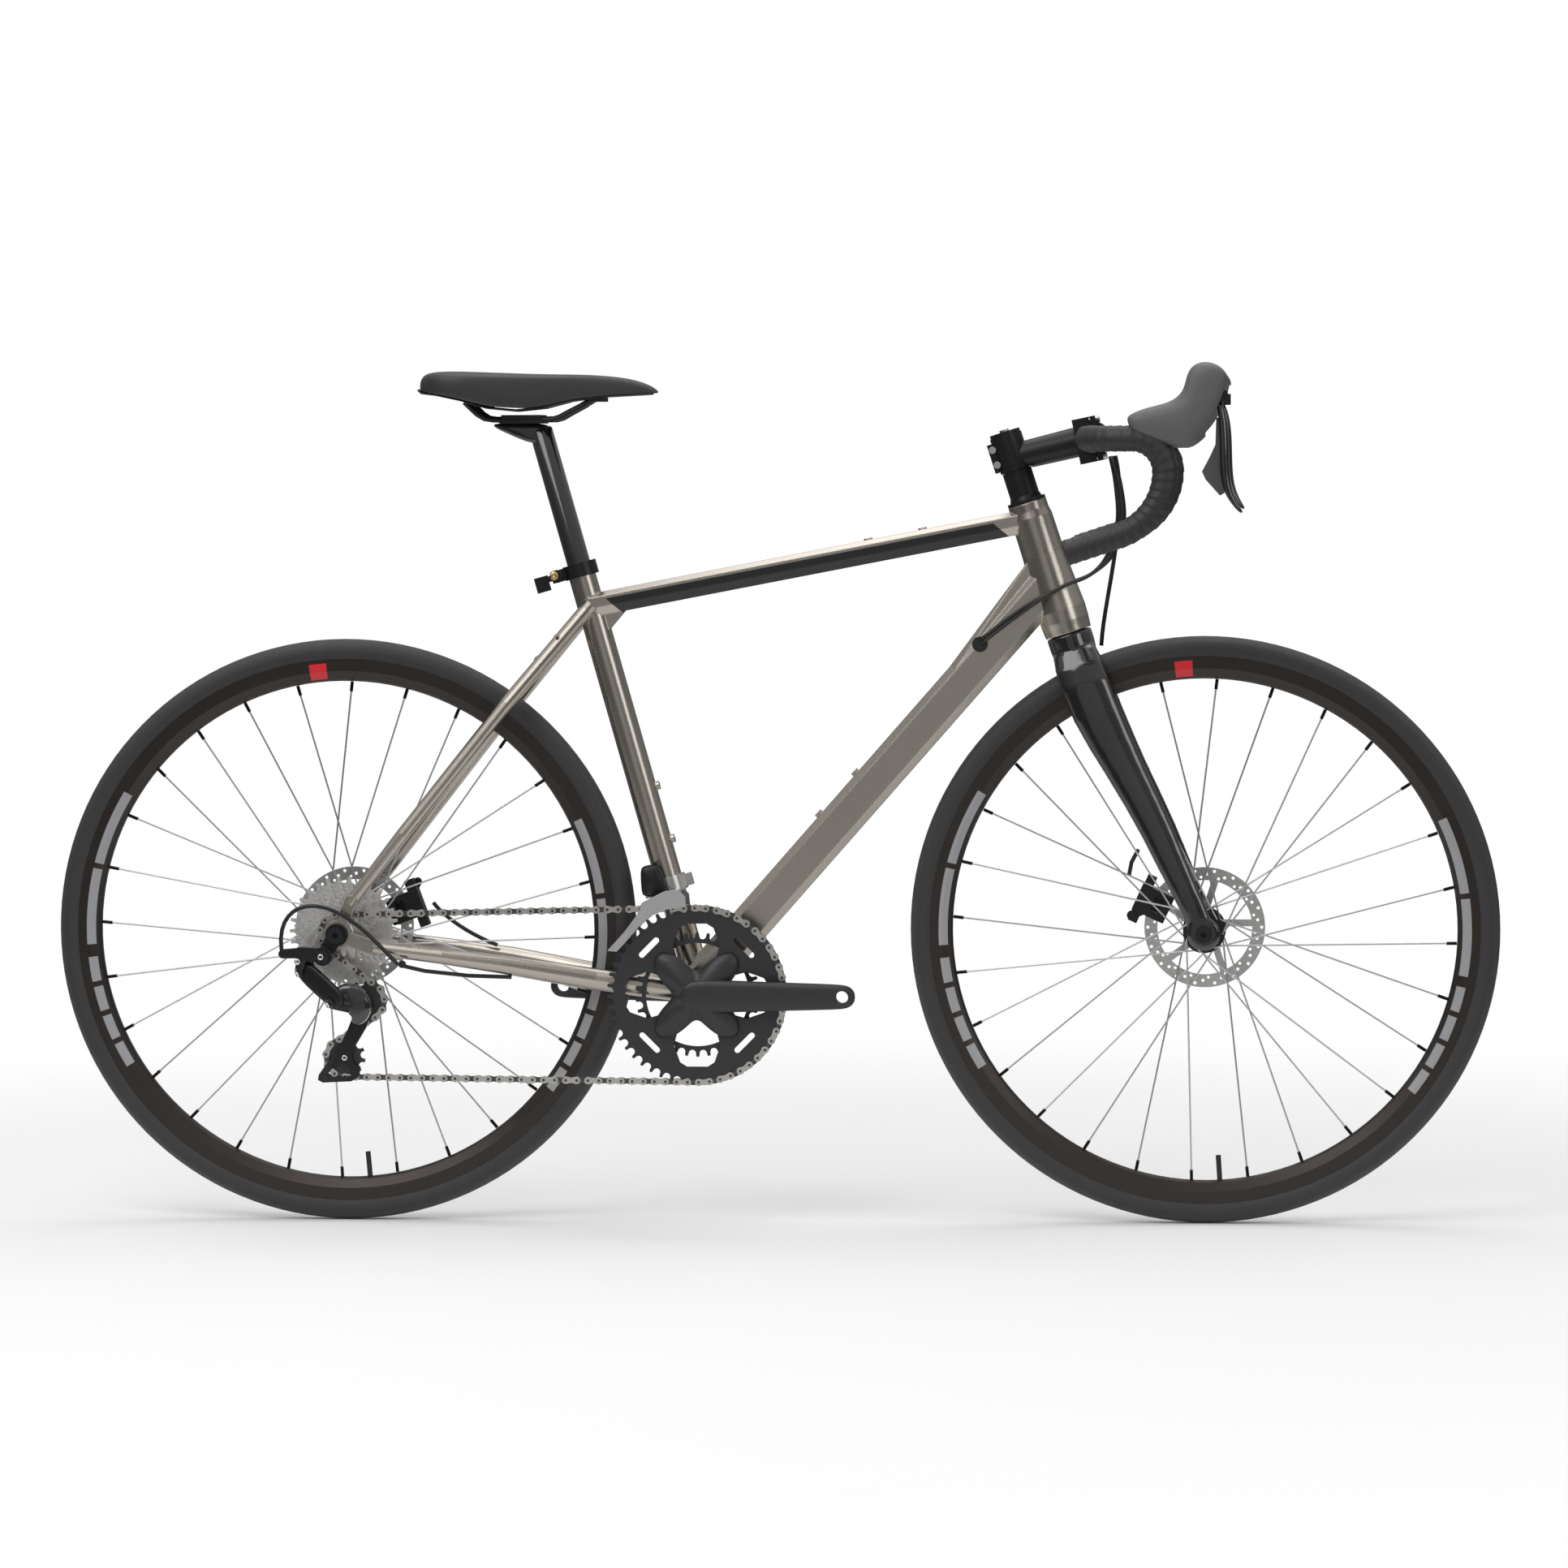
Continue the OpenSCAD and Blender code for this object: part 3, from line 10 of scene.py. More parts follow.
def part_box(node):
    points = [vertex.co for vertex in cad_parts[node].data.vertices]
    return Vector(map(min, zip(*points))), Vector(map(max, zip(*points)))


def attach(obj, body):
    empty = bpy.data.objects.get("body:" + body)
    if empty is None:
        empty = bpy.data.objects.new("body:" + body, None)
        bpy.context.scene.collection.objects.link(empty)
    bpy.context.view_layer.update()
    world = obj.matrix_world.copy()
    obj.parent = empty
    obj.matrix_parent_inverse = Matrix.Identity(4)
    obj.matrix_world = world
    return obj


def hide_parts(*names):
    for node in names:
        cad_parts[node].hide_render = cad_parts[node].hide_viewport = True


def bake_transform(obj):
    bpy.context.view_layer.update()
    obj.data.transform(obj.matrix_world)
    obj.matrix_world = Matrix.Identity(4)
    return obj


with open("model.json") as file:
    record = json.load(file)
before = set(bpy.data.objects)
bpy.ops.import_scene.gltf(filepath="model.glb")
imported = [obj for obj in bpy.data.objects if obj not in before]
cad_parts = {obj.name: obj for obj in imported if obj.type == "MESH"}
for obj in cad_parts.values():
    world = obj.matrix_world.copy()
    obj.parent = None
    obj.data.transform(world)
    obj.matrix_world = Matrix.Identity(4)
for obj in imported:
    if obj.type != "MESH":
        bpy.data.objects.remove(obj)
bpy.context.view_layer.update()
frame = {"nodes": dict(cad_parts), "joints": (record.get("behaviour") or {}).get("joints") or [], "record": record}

MM = 0.001
ACROSS = Vector((0, 1, 0))
SIDES = (("right", -1), ("left", 1))


# ---------- Places taken from the frame ----------

def centre(node):
    """The middle of a CAD node's box, in millimetres."""
    lo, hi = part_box(node)
    return (lo + hi) / 2 / MM


def joint(name):
    """Position and unit axis of a joint, in millimetres."""
    found = [j for j in frame["joints"] if j["name"] == name][0]
    return Vector(found.get("pos_m", (0, 0, 0))) / MM, Vector(found["axis"]).normalized()


REAR = centre("rear_tyre")
FRONT = centre("front_tyre")
CRANK = centre("outer_chainring")
GUIDE = joint("guide_pulley_turn")[0]
TENSION = joint("tension_pulley_turn")[0]
STEER_AT, STEER_UP = joint("steering")
SEAT_UP = joint("seatpost_height")[1]
BAR_LO, BAR_HI = (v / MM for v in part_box("handlebar"))
BAR_R = 12.0
CENTRE_R = 15.9
CORNER_R = 50.0
HOOK_R = 37.0
DROP_R = 75.0
DROP_TURN = math.radians(72)
DROP_WAY = Vector((-math.sin(DROP_TURN), 0, -math.cos(DROP_TURN)))
DROP_LEN = 60.0
BAR_HALF = BAR_HI.y - BAR_R
BAR_X = BAR_HI.x - BAR_R - CORNER_R - HOOK_R
BAR_Z = BAR_HI.z - CENTRE_R


def steer_point(t):
    """Point on the steering axis, t millimetres up it from axle height."""
    low = STEER_AT + STEER_UP * ((FRONT.z - STEER_AT.z) / STEER_UP.z)
    return low + STEER_UP * t


# ---------- Mesh tools ----------

def shade_smooth(mesh):
    for polygon in mesh.polygons:
        polygon.use_smooth = True


def finish_mesh(name, verts, faces, mat, body, replaced=(), blend=None):
    """A mesh object from millimetre vertices, riding on a CAD body."""
    mesh = bpy.data.meshes.new(name)
    mesh.from_pydata([Vector(v) * MM for v in verts], [], faces)
    bm = bmesh.new()
    bm.from_mesh(mesh)
    bmesh.ops.recalc_face_normals(bm, faces=bm.faces)
    bm.to_mesh(mesh)
    bm.free()
    shade_smooth(mesh)
    obj = bpy.data.objects.new(name, mesh)
    bpy.context.scene.collection.objects.link(obj)
    mesh.materials.append(mat)
    if blend:
        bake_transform(obj)
    elif body:
        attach(obj, body)
    if replaced:
        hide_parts(*replaced)
    return obj


def subdivide(obj, levels):
    """Rounds a mesh with subdivision."""
    m = obj.modifiers.new("round", "SUBSURF")
    m.levels = levels
    m.render_levels = levels
    return obj


def sharpen(obj, degrees):
    """Keeps edges above this angle crisp on a smooth mesh."""
    obj.data.set_sharp_from_angle(angle=math.radians(degrees))
    return obj


class Shape:
    """Collects vertices and faces of one piece."""

    def __init__(self):
        self.verts = []
        self.faces = []

    def add(self, verts, faces):
        start = len(self.verts)
        self.verts += [tuple(v) for v in verts]
        self.faces += [tuple(start + i for i in f) for f in faces]

    def loft(self, rings, caps=True, closed=False):
        """A skin through rings of equal length."""
        n = len(rings[0])
        count = len(rings)
        verts = [v for ring in rings for v in ring]
        faces = []
        for i in range(count if closed else count - 1):
            j = (i + 1) % count
            for k in range(n):
                m = (k + 1) % n
                faces.append((i * n + k, i * n + m, j * n + m, j * n + k))
        if caps and not closed:
            faces.append(tuple(range(n - 1, -1, -1)))
            faces.append(tuple((count - 1) * n + k for k in range(n)))
        self.add(verts, faces)

    def sweep(self, path, radius, n=16, flat=1.0):
        """A round bar along a path. radius may be a function of (length along, angle)."""
        points = [Vector(p) for p in path]
        frames = sweep_frames(points)
        rings = []
        along = 0.0
        for i, (p, u, v) in enumerate(frames):
            if i:
                along += (points[i] - points[i - 1]).length
            ring = []
            for k in range(n):
                a = 2 * math.pi * k / n
                r = radius(along, a) if callable(radius) else radius
                ring.append(p + u * (r * math.cos(a)) + v * (r * flat * math.sin(a)))
            rings.append(ring)
        self.loft(rings)

    def turned(self, at, axis, outline, n=48):
        """A ring or disc turned about an axis; the outline holds (radius, distance along)."""
        axis = Vector(axis).normalized()
        u = axis.orthogonal().normalized()
        v = axis.cross(u)
        rings = []
        for k in range(n):
            a = 2 * math.pi * k / n
            d = u * math.cos(a) + v * math.sin(a)
            rings.append([Vector(at) + d * r + axis * h for r, h in outline])
        self.loft(rings, closed=True)

    def disc(self, at, axis, r, width, n=32, bevel=0.4):
        """A bevelled cylinder centred on a point."""
        w = width / 2
        outline = [(0.01, -w), (r - bevel, -w), (r, bevel - w), (r, w - bevel), (r - bevel, w), (0.01, w)]
        self.turned(at, axis, outline, n)

    def prism(self, outline, place, thickness, bevel=0.0):
        """A flat plate from a 2-D outline; place maps (x, y, height) to a point."""
        n = len(outline)
        middle = Vector((sum(p[0] for p in outline) / n, sum(p[1] for p in outline) / n))
        small = [tuple(middle + (Vector(p) - middle) * (1 - bevel)) for p in outline]
        levels = [(outline, -0.5), (outline, 0.5)]
        if bevel:
            levels = [(small, -0.5), (outline, -0.3), (outline, 0.3), (small, 0.5)]
        self.loft([[place(x, y, h * thickness) for x, y in ring] for ring, h in levels])

    def block(self, lo, hi):
        """A box between two corners."""
        corners = ((lo[0], lo[1]), (hi[0], lo[1]), (hi[0], hi[1]), (lo[0], hi[1]))
        self.loft([[(x, y, z) for x, y in corners] for z in (lo[2], hi[2])])

    def make(self, name, mat, body, replaced=(), blend=None):
        return finish_mesh(name, self.verts, self.faces, mat, body, replaced, blend)


def sweep_frames(points):
    """(point, side, side) along a path, turning as little as possible."""
    frames = []
    side = None
    for i, p in enumerate(points):
        t = (points[min(i + 1, len(points) - 1)] - points[max(i - 1, 0)]).normalized()
        if side is None:
            side = t.cross(Vector((0, 1, 0)))
            if side.length < 0.3:
                side = t.cross(Vector((0, 0, 1)))
        side = (side - t * side.dot(t)).normalized()
        frames.append((p, side, t.cross(side)))
    return frames


def round_steps(n):
    """Cosine and sine of n equal steps round a circle."""
    return [(math.cos(2 * math.pi * k / n), math.sin(2 * math.pi * k / n)) for k in range(n)]


def clamp(value):
    """Limits a number to the span from 0 to 1."""
    return max(0.0, min(1.0, value))


def swell(value, power):
    """Draws a sine or cosine out, so that a circle becomes a rounded square."""
    return math.copysign(abs(value) ** power, value)


def arc(cx, cz, r, a0, a1, n):
    """Points on an arc in a plane, from angle a0 to a1."""
    return [(cx + r * math.cos(a0 + (a1 - a0) * k / n), cz + r * math.sin(a0 + (a1 - a0) * k / n))
            for k in range(1, n + 1)]


def smooth_path(points, step):
    """A curve through control points (Catmull-Rom), sampled about every step millimetres."""
    p = [Vector(q) for q in points]
    p = [p[0] * 2 - p[1]] + p + [p[-1] * 2 - p[-2]]
    out = []
    for i in range(1, len(p) - 2):
        n = max(2, int((p[i + 1] - p[i]).length / step))
        for k in range(n):
            t = k / n
            a = p[i] * 2
            b = (p[i + 1] - p[i - 1]) * t
            c = (p[i - 1] * 2 - p[i] * 5 + p[i + 1] * 4 - p[i + 2]) * t * t
            d = (p[i] * 3 - p[i - 1] - p[i + 1] * 3 + p[i + 2]) * t ** 3
            out.append((a + b + c + d) / 2)
    out.append(p[-2])
    return out


# ---------- Materials ----------

class Finish:
    """A procedural material on the Principled shader, with its nodes wired by short calls."""

    def __init__(self, name, colour, metallic=0.0, rough=0.5, coat=0.0):
        self.material = bpy.data.materials.new(name)
        self.material.use_nodes = True
        tree = self.material.node_tree
        self.nodes, self.links = tree.nodes, tree.links
        self.shader = self.nodes["Principled BSDF"]
        self.shader.inputs["Metallic"].default_value = metallic
        self.shader.inputs["Coat Weight"].default_value = coat
        self.shader.inputs["Coat Roughness"].default_value = 0.08
        self.place = self.nodes.new("ShaderNodeTexCoord").outputs["Object"]
        self.colour = self.rgb(colour)
        self.rough = self.value(rough)
        self.height = None
        self.base_normal = None

    def rgb(self, colour):
        n = self.nodes.new("ShaderNodeRGB")
        n.outputs[0].default_value = (*colour, 1)
        return n.outputs[0]

    def value(self, number):
        n = self.nodes.new("ShaderNodeValue")
        n.outputs[0].default_value = number
        return n.outputs[0]

    def math(self, op, a, b=None, c=None):
        n = self.nodes.new("ShaderNodeMath")
        n.operation = op
        for i, x in enumerate((a, b, c)):
            if x is None:
                continue
            if isinstance(x, (int, float)):
                n.inputs[i].default_value = x
            else:
                self.links.new(x, n.inputs[i])
        return n.outputs[0]

    def mix(self, mask, a, b):
        n = self.nodes.new("ShaderNodeMix")
        n.data_type = "RGBA"
        self.links.new(mask, n.inputs["Factor"])
        self.links.new(a, n.inputs[6])
        self.links.new(b, n.inputs[7])
        return n.outputs[2]

    def noise(self, scale, stretch=(1, 1, 1), detail=4.0):
        m = self.nodes.new("ShaderNodeMapping")
        m.inputs["Scale"].default_value = stretch
        self.links.new(self.place, m.inputs["Vector"])
        n = self.nodes.new("ShaderNodeTexNoise")
        n.inputs["Scale"].default_value = scale
        n.inputs["Detail"].default_value = detail
        self.links.new(m.outputs[0], n.inputs["Vector"])
        return n.outputs["Fac"]

    def range(self, x, lo, hi, soft):
        """1 where x lies between lo and hi, with soft edges."""
        up = self.smooth(x, lo - soft, lo + soft)
        down = self.smooth(x, hi - soft, hi + soft)
        return self.math("SUBTRACT", up, down)

    def smooth(self, x, lo, hi):
        n = self.nodes.new("ShaderNodeMapRange")
        n.interpolation_type = "SMOOTHSTEP"
        self.links.new(x, n.inputs["Value"])
        n.inputs["From Min"].default_value = lo
        n.inputs["From Max"].default_value = hi
        return n.outputs["Result"]

    def axes(self):
        n = self.nodes.new("ShaderNodeSeparateXYZ")
        self.links.new(self.place, n.inputs[0])
        return n.outputs

    def polar(self, at):
        """(radius, angle, y) about a Y axis through a point given in millimetres."""
        x, y, z = self.axes()
        dx = self.math("SUBTRACT", x, at.x * MM)
        dz = self.math("SUBTRACT", z, at.z * MM)
        r2 = self.math("ADD", self.math("MULTIPLY", dx, dx), self.math("MULTIPLY", dz, dz))
        return self.math("SQRT", r2), self.math("ARCTAN2", dz, dx), y

    def speckle(self, fac, amount):
        """Colour varies by this share with a 0 to 1 pattern."""
        shade = self.math("MULTIPLY_ADD", fac, amount * 2, 1 - amount)
        n = self.nodes.new("ShaderNodeVectorMath")
        n.operation = "SCALE"
        self.links.new(self.colour, n.inputs[0])
        self.links.new(shade, n.inputs["Scale"])
        self.colour = n.outputs[0]

    def roughen(self, fac, amount):
        self.rough = self.math("MULTIPLY_ADD", fac, amount * 2, self.math("SUBTRACT", self.rough, amount))

    def bump(self, fac, depth_mm):
        scaled = self.math("MULTIPLY", fac, depth_mm * MM)
        self.height = scaled if self.height is None else self.math("ADD", self.height, scaled)

    def soften(self, radius_mm):
        """Rounds the shading of edges and welds."""
        n = self.nodes.new("ShaderNodeBevel")
        n.samples = 4
        n.inputs["Radius"].default_value = radius_mm * MM
        self.base_normal = n.outputs[0]

    def done(self):
        s = self.shader
        self.links.new(self.colour, s.inputs["Base Color"])
        self.links.new(self.rough, s.inputs["Roughness"])
        if self.height is not None:
            b = self.nodes.new("ShaderNodeBump")
            b.inputs["Strength"].default_value = 1.0
            b.inputs["Distance"].default_value = 1.0
            self.links.new(self.height, b.inputs["Height"])
            if self.base_normal is not None:
                self.links.new(self.base_normal, b.inputs["Normal"])
            self.links.new(b.outputs[0], s.inputs["Normal"])
        elif self.base_normal is not None:
            self.links.new(self.base_normal, s.inputs["Normal"])
        return self.material


def plain(name, colour, metallic=0.0, rough=0.5, coat=0.0, grain=900, depth=0.02, spread=0.06, soft=0.4):
    """A finish with fine grain in its colour, roughness and surface."""
    f = Finish(name, colour, metallic, rough, coat)
    fine = f.noise(grain)
    f.speckle(fine, spread)
    f.roughen(f.noise(grain * 0.25), min(0.08, rough * 0.4))
    f.bump(fine, depth)
    if soft:
        f.soften(soft)
    return f.done()


# The dark panel on the top tube, in metres from the tube's ends and axis
PANEL_END = 0.024
PANEL_LOW = -0.0170
PANEL_HIGH = 0.0045
PANEL_SLANT = 0.8
PAINT_EDGE = 0.0004


def titanium():
    """Brushed frame metal, with a dark painted panel on both sides of the top tube."""
    f = Finish("brushed_frame_metal", (0.43, 0.395, 0.35), 1.0, 0.26)
    brushed = f.noise(420, (1, 1, 9), 3)
    f.speckle(brushed, 0.05)
    f.speckle(f.noise(9), 0.05)
    f.roughen(brushed, 0.05)
    f.bump(brushed, 0.004)
    f.soften(2.2)
    x, y, z = f.axes()
    a, b = top_tube_line()
    d = (b - a).normalized()
    along = f.math("ADD", f.math("MULTIPLY", x, d.x),
                   f.math("MULTIPLY_ADD", z, d.z, -(a.x * d.x + a.z * d.z) * MM))
    up = f.math("ADD", f.math("MULTIPLY", x, -d.z),
                f.math("MULTIPLY_ADD", z, d.x, (a.x * d.z - a.z * d.x) * MM))
    slant = f.math("MULTIPLY_ADD", up, PANEL_SLANT, along)
    length = (b - a).length * MM
    ends = f.range(slant, PANEL_END, length - PANEL_END, PAINT_EDGE)
    mask = f.math("MULTIPLY", ends, f.range(up, PANEL_LOW, PANEL_HIGH, PAINT_EDGE))
    f.colour = f.mix(mask, f.colour, f.rgb((0.012, 0.012, 0.013)))
    f.links.new(f.math("SUBTRACT", 1.0, mask), f.shader.inputs["Metallic"])
    f.rough = f.math("MULTIPLY_ADD", mask, -0.08, f.rough)
    return f.done()


BOSS_OVER_AXIS = 12.5
BEHIND_BOSS = 332
AHEAD_OF_BOSS = 110


def top_tube_line():
    """Both ends of the top tube's axis, worked out from the two bosses on top of it."""
    mounts = {m["name"]: m for m in frame["record"]["mounts"]}
    rear, fore = (Vector(mounts["top_tube_boss_%d" % i]["pos_m"]) / MM for i in (1, 2))
    d = (fore - rear).normalized()
    down = Vector((d.z, 0, -d.x)) * BOSS_OVER_AXIS
    return rear - d * BEHIND_BOSS + down, fore + d * AHEAD_OF_BOSS + down


# Plain blocks on the rim's sides: radii in metres; start, width and number of blocks in degrees
RIM_FACE = 0.0075
BLOCK_RADII = (0.2965, 0.3070)
PATCH_RADII = (0.2935, 0.3125)
RIM_BLOCKS = ((148, 17, 2), (186, 5.5, 4), (-38, 5.5, 4), (-10, 17, 2))
BLOCK_GAP = 1.2
RIM_ZERO = 40
RIM_EDGE = 0.0003
ANGLE_EDGE = 0.001
RIM_METALLIC = 0.75


def rim_metal(name, at, valve):
    """Dark anodised rim with plain pale blocks on both sides and one red patch across from the valve."""
    f = Finish(name, (0.045, 0.038, 0.034), RIM_METALLIC, 0.36)
    turned = f.noise(700, (1, 6, 1), 2)
    f.speckle(turned, 0.08)
    f.roughen(f.noise(40), 0.06)
    f.bump(turned, 0.01)
    r, angle, y = f.polar(at)
    side = f.math("GREATER_THAN", f.math("ABSOLUTE", y), RIM_FACE)
    band = f.math("MULTIPLY", f.range(r, *BLOCK_RADII, RIM_EDGE), side)
    turned_angle = f.math("MODULO", f.math("ADD", angle, math.radians(360 + RIM_ZERO)), 2 * math.pi)
    marks = None
    for start, width, count in RIM_BLOCKS:
        for k in range(count):
            lo = math.radians((start + k * (width + BLOCK_GAP) + RIM_ZERO) % 360)
            block = f.range(turned_angle, lo, lo + math.radians(width), ANGLE_EDGE)
            marks = block if marks is None else f.math("MAXIMUM", marks, block)
    pale = f.math("MULTIPLY", band, marks)
    f.colour = f.mix(pale, f.colour, f.rgb((0.33, 0.33, 0.34)))
    opposite = valve + RIM_ZERO - 180
    patch = f.range(turned_angle, math.radians(opposite - 1), math.radians(opposite + 2.8), ANGLE_EDGE)
    red = f.math("MULTIPLY", f.math("MULTIPLY", f.range(r, *PATCH_RADII, RIM_EDGE), side), patch)
    f.colour = f.mix(red, f.colour, f.rgb((0.70, 0.02, 0.03)))
    metal = f.math("MULTIPLY_ADD", f.math("MAXIMUM", pale, red), -RIM_METALLIC, RIM_METALLIC)
    f.links.new(metal, f.shader.inputs["Metallic"])
    f.soften(0.6)
    return f.done()


# Tread: radii where the crown starts, waves round the wheel and per metre across it
CROWN_RADII = (0.3315, 0.3345)
TREAD_ROUND = 900
TREAD_ACROSS = 2400
WALL_RINGS = 9000


def tyre_rubber(name, at):
    """Tyre with a fine file tread on the crown and faint rings on the sidewall."""
    f = Finish(name, (0.030, 0.030, 0.032), 0.0, 0.62)
    r, angle, y = f.polar(at)
    crown = f.smooth(r, *CROWN_RADII)
    along, across = f.math("MULTIPLY", angle, TREAD_ROUND), f.math("MULTIPLY", y, TREAD_ACROSS)
    lines = f.math("SINE", f.math("ADD", along, across))
    cross = f.math("SINE", f.math("SUBTRACT", along, across))
    tread = f.math("MULTIPLY", f.math("MAXIMUM", lines, cross), crown)
    rings = f.math("SINE", f.math("MULTIPLY", r, WALL_RINGS))
    wall = f.math("MULTIPLY", rings, f.math("SUBTRACT", 1.0, crown))
    f.bump(tread, 0.10)
    f.bump(wall, 0.02)
    grain = f.noise(500)
    f.bump(grain, 0.05)
    f.speckle(grain, 0.12)
    f.colour = f.mix(f.math("MULTIPLY", crown, 0.5), f.colour, f.rgb((0.055, 0.055, 0.058)))
    f.roughen(f.noise(60), 0.06)
    return f.done()


NIPPLE_RADIUS = 0.2790


def spoke_metal(name, at):
    """Plain steel spokes with black nipples near the rim."""
    f = Finish(name, (0.50, 0.50, 0.51), 1.0, 0.30)
    r, angle, y = f.polar(at)
    f.speckle(f.noise(300), 0.08)
    nipple = f.math("GREATER_THAN", r, NIPPLE_RADIUS)
    f.colour = f.mix(nipple, f.colour, f.rgb((0.015, 0.015, 0.016)))
    f.roughen(f.noise(500), 0.05)
    return f.done()


def leather():
    """Matte synthetic saddle cover with a fine pebble grain."""
    f = Finish("saddle_leather", (0.035, 0.035, 0.037), 0.0, 0.52)
    grain = f.nodes.new("ShaderNodeTexVoronoi")
    grain.inputs["Scale"].default_value = 950
    f.links.new(f.place, grain.inputs["Vector"])
    f.bump(grain.outputs["Distance"], 0.10)
    f.speckle(f.noise(500), 0.08)
    f.roughen(f.noise(35), 0.05)
    return f.done()


def tape_cloth():
    """Cushioned bar tape with fine holes."""
    f = Finish("bar_tape", (0.030, 0.027, 0.028), 0.0, 0.50)
    dots = f.nodes.new("ShaderNodeTexVoronoi")
    dots.inputs["Scale"].default_value = 420
    f.links.new(f.place, dots.inputs["Vector"])
    f.bump(f.smooth(dots.outputs["Distance"], 0.1, 0.4), 0.12)
    f.speckle(f.noise(200), 0.12)
    return f.done()


def grip_rubber():
    """Soft hood rubber with fine ribs."""
    f = Finish("hood_rubber", (0.125, 0.125, 0.130), 0.0, 0.52)
    x, y, z = f.axes()
    ribs = f.math("SINE", f.math("MULTIPLY", f.math("ADD", x, z), 2200))
    mask = f.range(f.noise(22, (1, 1, 1), 1), 0.45, 0.75, 0.05)
    f.bump(f.math("MULTIPLY", ribs, mask), 0.06)
    f.bump(f.noise(900), 0.05)
    f.speckle(f.noise(300), 0.10)
    return f.done()


MATERIALS = {
    "titanium": titanium(),
    "black_satin": plain("satin_black", (0.022, 0.022, 0.024), 0.6, 0.36, grain=1100),
    "black_gloss": plain("gloss_black", (0.008, 0.008, 0.009), 0.0, 0.16, coat=1.0, grain=70, depth=0.004,
                         spread=0.1),
    "steel": plain("plated_steel", (0.56, 0.56, 0.55), 1.0, 0.30, grain=700),
    "crank_grey": plain("crank_grey", (0.040, 0.040, 0.043), 0.5, 0.42, grain=1300, soft=0.8),
    "plastic": plain("matte_plastic", (0.020, 0.020, 0.021), 0.0, 0.50, grain=1000),
    "housing": plain("cable_outer", (0.012, 0.012, 0.013), 0.0, 0.32, grain=500, soft=0),
    "chain": plain("chain_outer_steel", (0.52, 0.50, 0.47), 1.0, 0.30, grain=600),
    "chain_dark": plain("chain_inner_steel", (0.10, 0.095, 0.09), 1.0, 0.38, grain=600),
    "brass": plain("brass", (0.62, 0.42, 0.18), 1.0, 0.30, grain=600),
    "silver": plain("bright_alloy", (0.70, 0.70, 0.70), 1.0, 0.22, grain=800),
    "rotor": plain("rotor_steel", (0.55, 0.54, 0.52), 1.0, 0.34, grain=350, spread=0.10),
    "rubber": grip_rubber(),
    "tape": tape_cloth(),
    "saddle": leather(),
}
OWN_MATERIAL = {
    "front_rim": rim_metal("front_rim_metal", FRONT, 273.4),
    "rear_rim": rim_metal("rear_rim_metal", REAR, 274.7),
    "front_tyre": tyre_rubber("front_tyre_rubber", FRONT),
    "rear_tyre": tyre_rubber("rear_tyre_rubber", REAR),
    "front_spokes": spoke_metal("front_spoke_metal", FRONT),
    "rear_spokes": spoke_metal("rear_spoke_metal", REAR),
    "front_rotor": MATERIALS["rotor"],
    "rear_rotor": MATERIALS["rotor"],
    "saddle_rails": MATERIALS["black_satin"],
    "cassette": plain("cassette_steel", (0.74, 0.73, 0.71), 0.85, 0.34, grain=420, spread=0.16),
    "shift_paddle_right": plain("paddle_grey", (0.11, 0.11, 0.115), 0.4, 0.36),
    "shift_paddle_left": plain("paddle_grey", (0.11, 0.11, 0.115), 0.4, 0.36),
    "front_derailleur_bracket": MATERIALS["steel"],
}


CAD_CREASE = 28


def paint_cad():
    """Gives every CAD node its finish and smooth shading with crisp edges."""
    slots = {s["node"]: s["material_slot"] for s in frame["record"]["subparts"]}
    for name, obj in frame["nodes"].items():
        mat = OWN_MATERIAL.get(name) or MATERIALS[slots[name]]
        obj.data.materials.clear()
        obj.data.materials.append(mat)
        if obj.data.has_custom_normals:
            continue
        shade_smooth(obj.data)
        sharpen(obj, CAD_CREASE)


# ---------- Bar, tape, hoods and levers ----------

def bar_path(side, start, step=1.5):
    """The bar's centre line from start, beside the stem, to the end of the drop."""
    inner = BAR_HALF - CORNER_R
    count = max(2, int((inner - start) / step))
    path = [(BAR_X, side * (start + (inner - start) * k / count), BAR_Z) for k in range(count + 1)]
    path += [(x, side * y, BAR_Z) for x, y in
             arc(BAR_X + CORNER_R, inner, CORNER_R, math.pi, math.pi / 2, int(CORNER_R * 1.57 / step))]
    hook_z = BAR_Z - HOOK_R
    low_x = BAR_X + CORNER_R + HOOK_R - DROP_R
    path += [(x, side * BAR_HALF, z) for x, z in
             arc(BAR_X + CORNER_R, hook_z, HOOK_R, math.pi / 2, 0, int(HOOK_R * 1.57 / step))]
    path += [(x, side * BAR_HALF, z) for x, z in
             arc(low_x, hook_z, DROP_R, 0, -DROP_TURN, int(DROP_R * DROP_TURN / step))]
    end = Vector(path[-1])
    count = int(DROP_LEN / step)
    return path + [tuple(end + DROP_WAY * (DROP_LEN * k / count)) for k in range(1, count + 1)]


TAPE_START = 66
TAPE_PITCH = 11.0
TAPE_RISE = 0.82
END_PLUG = ((0.01, -6), (13.6, -6), (14.6, 0.5), (14.2, 2.6), (12.6, 3.6), (0.01, 3.9))


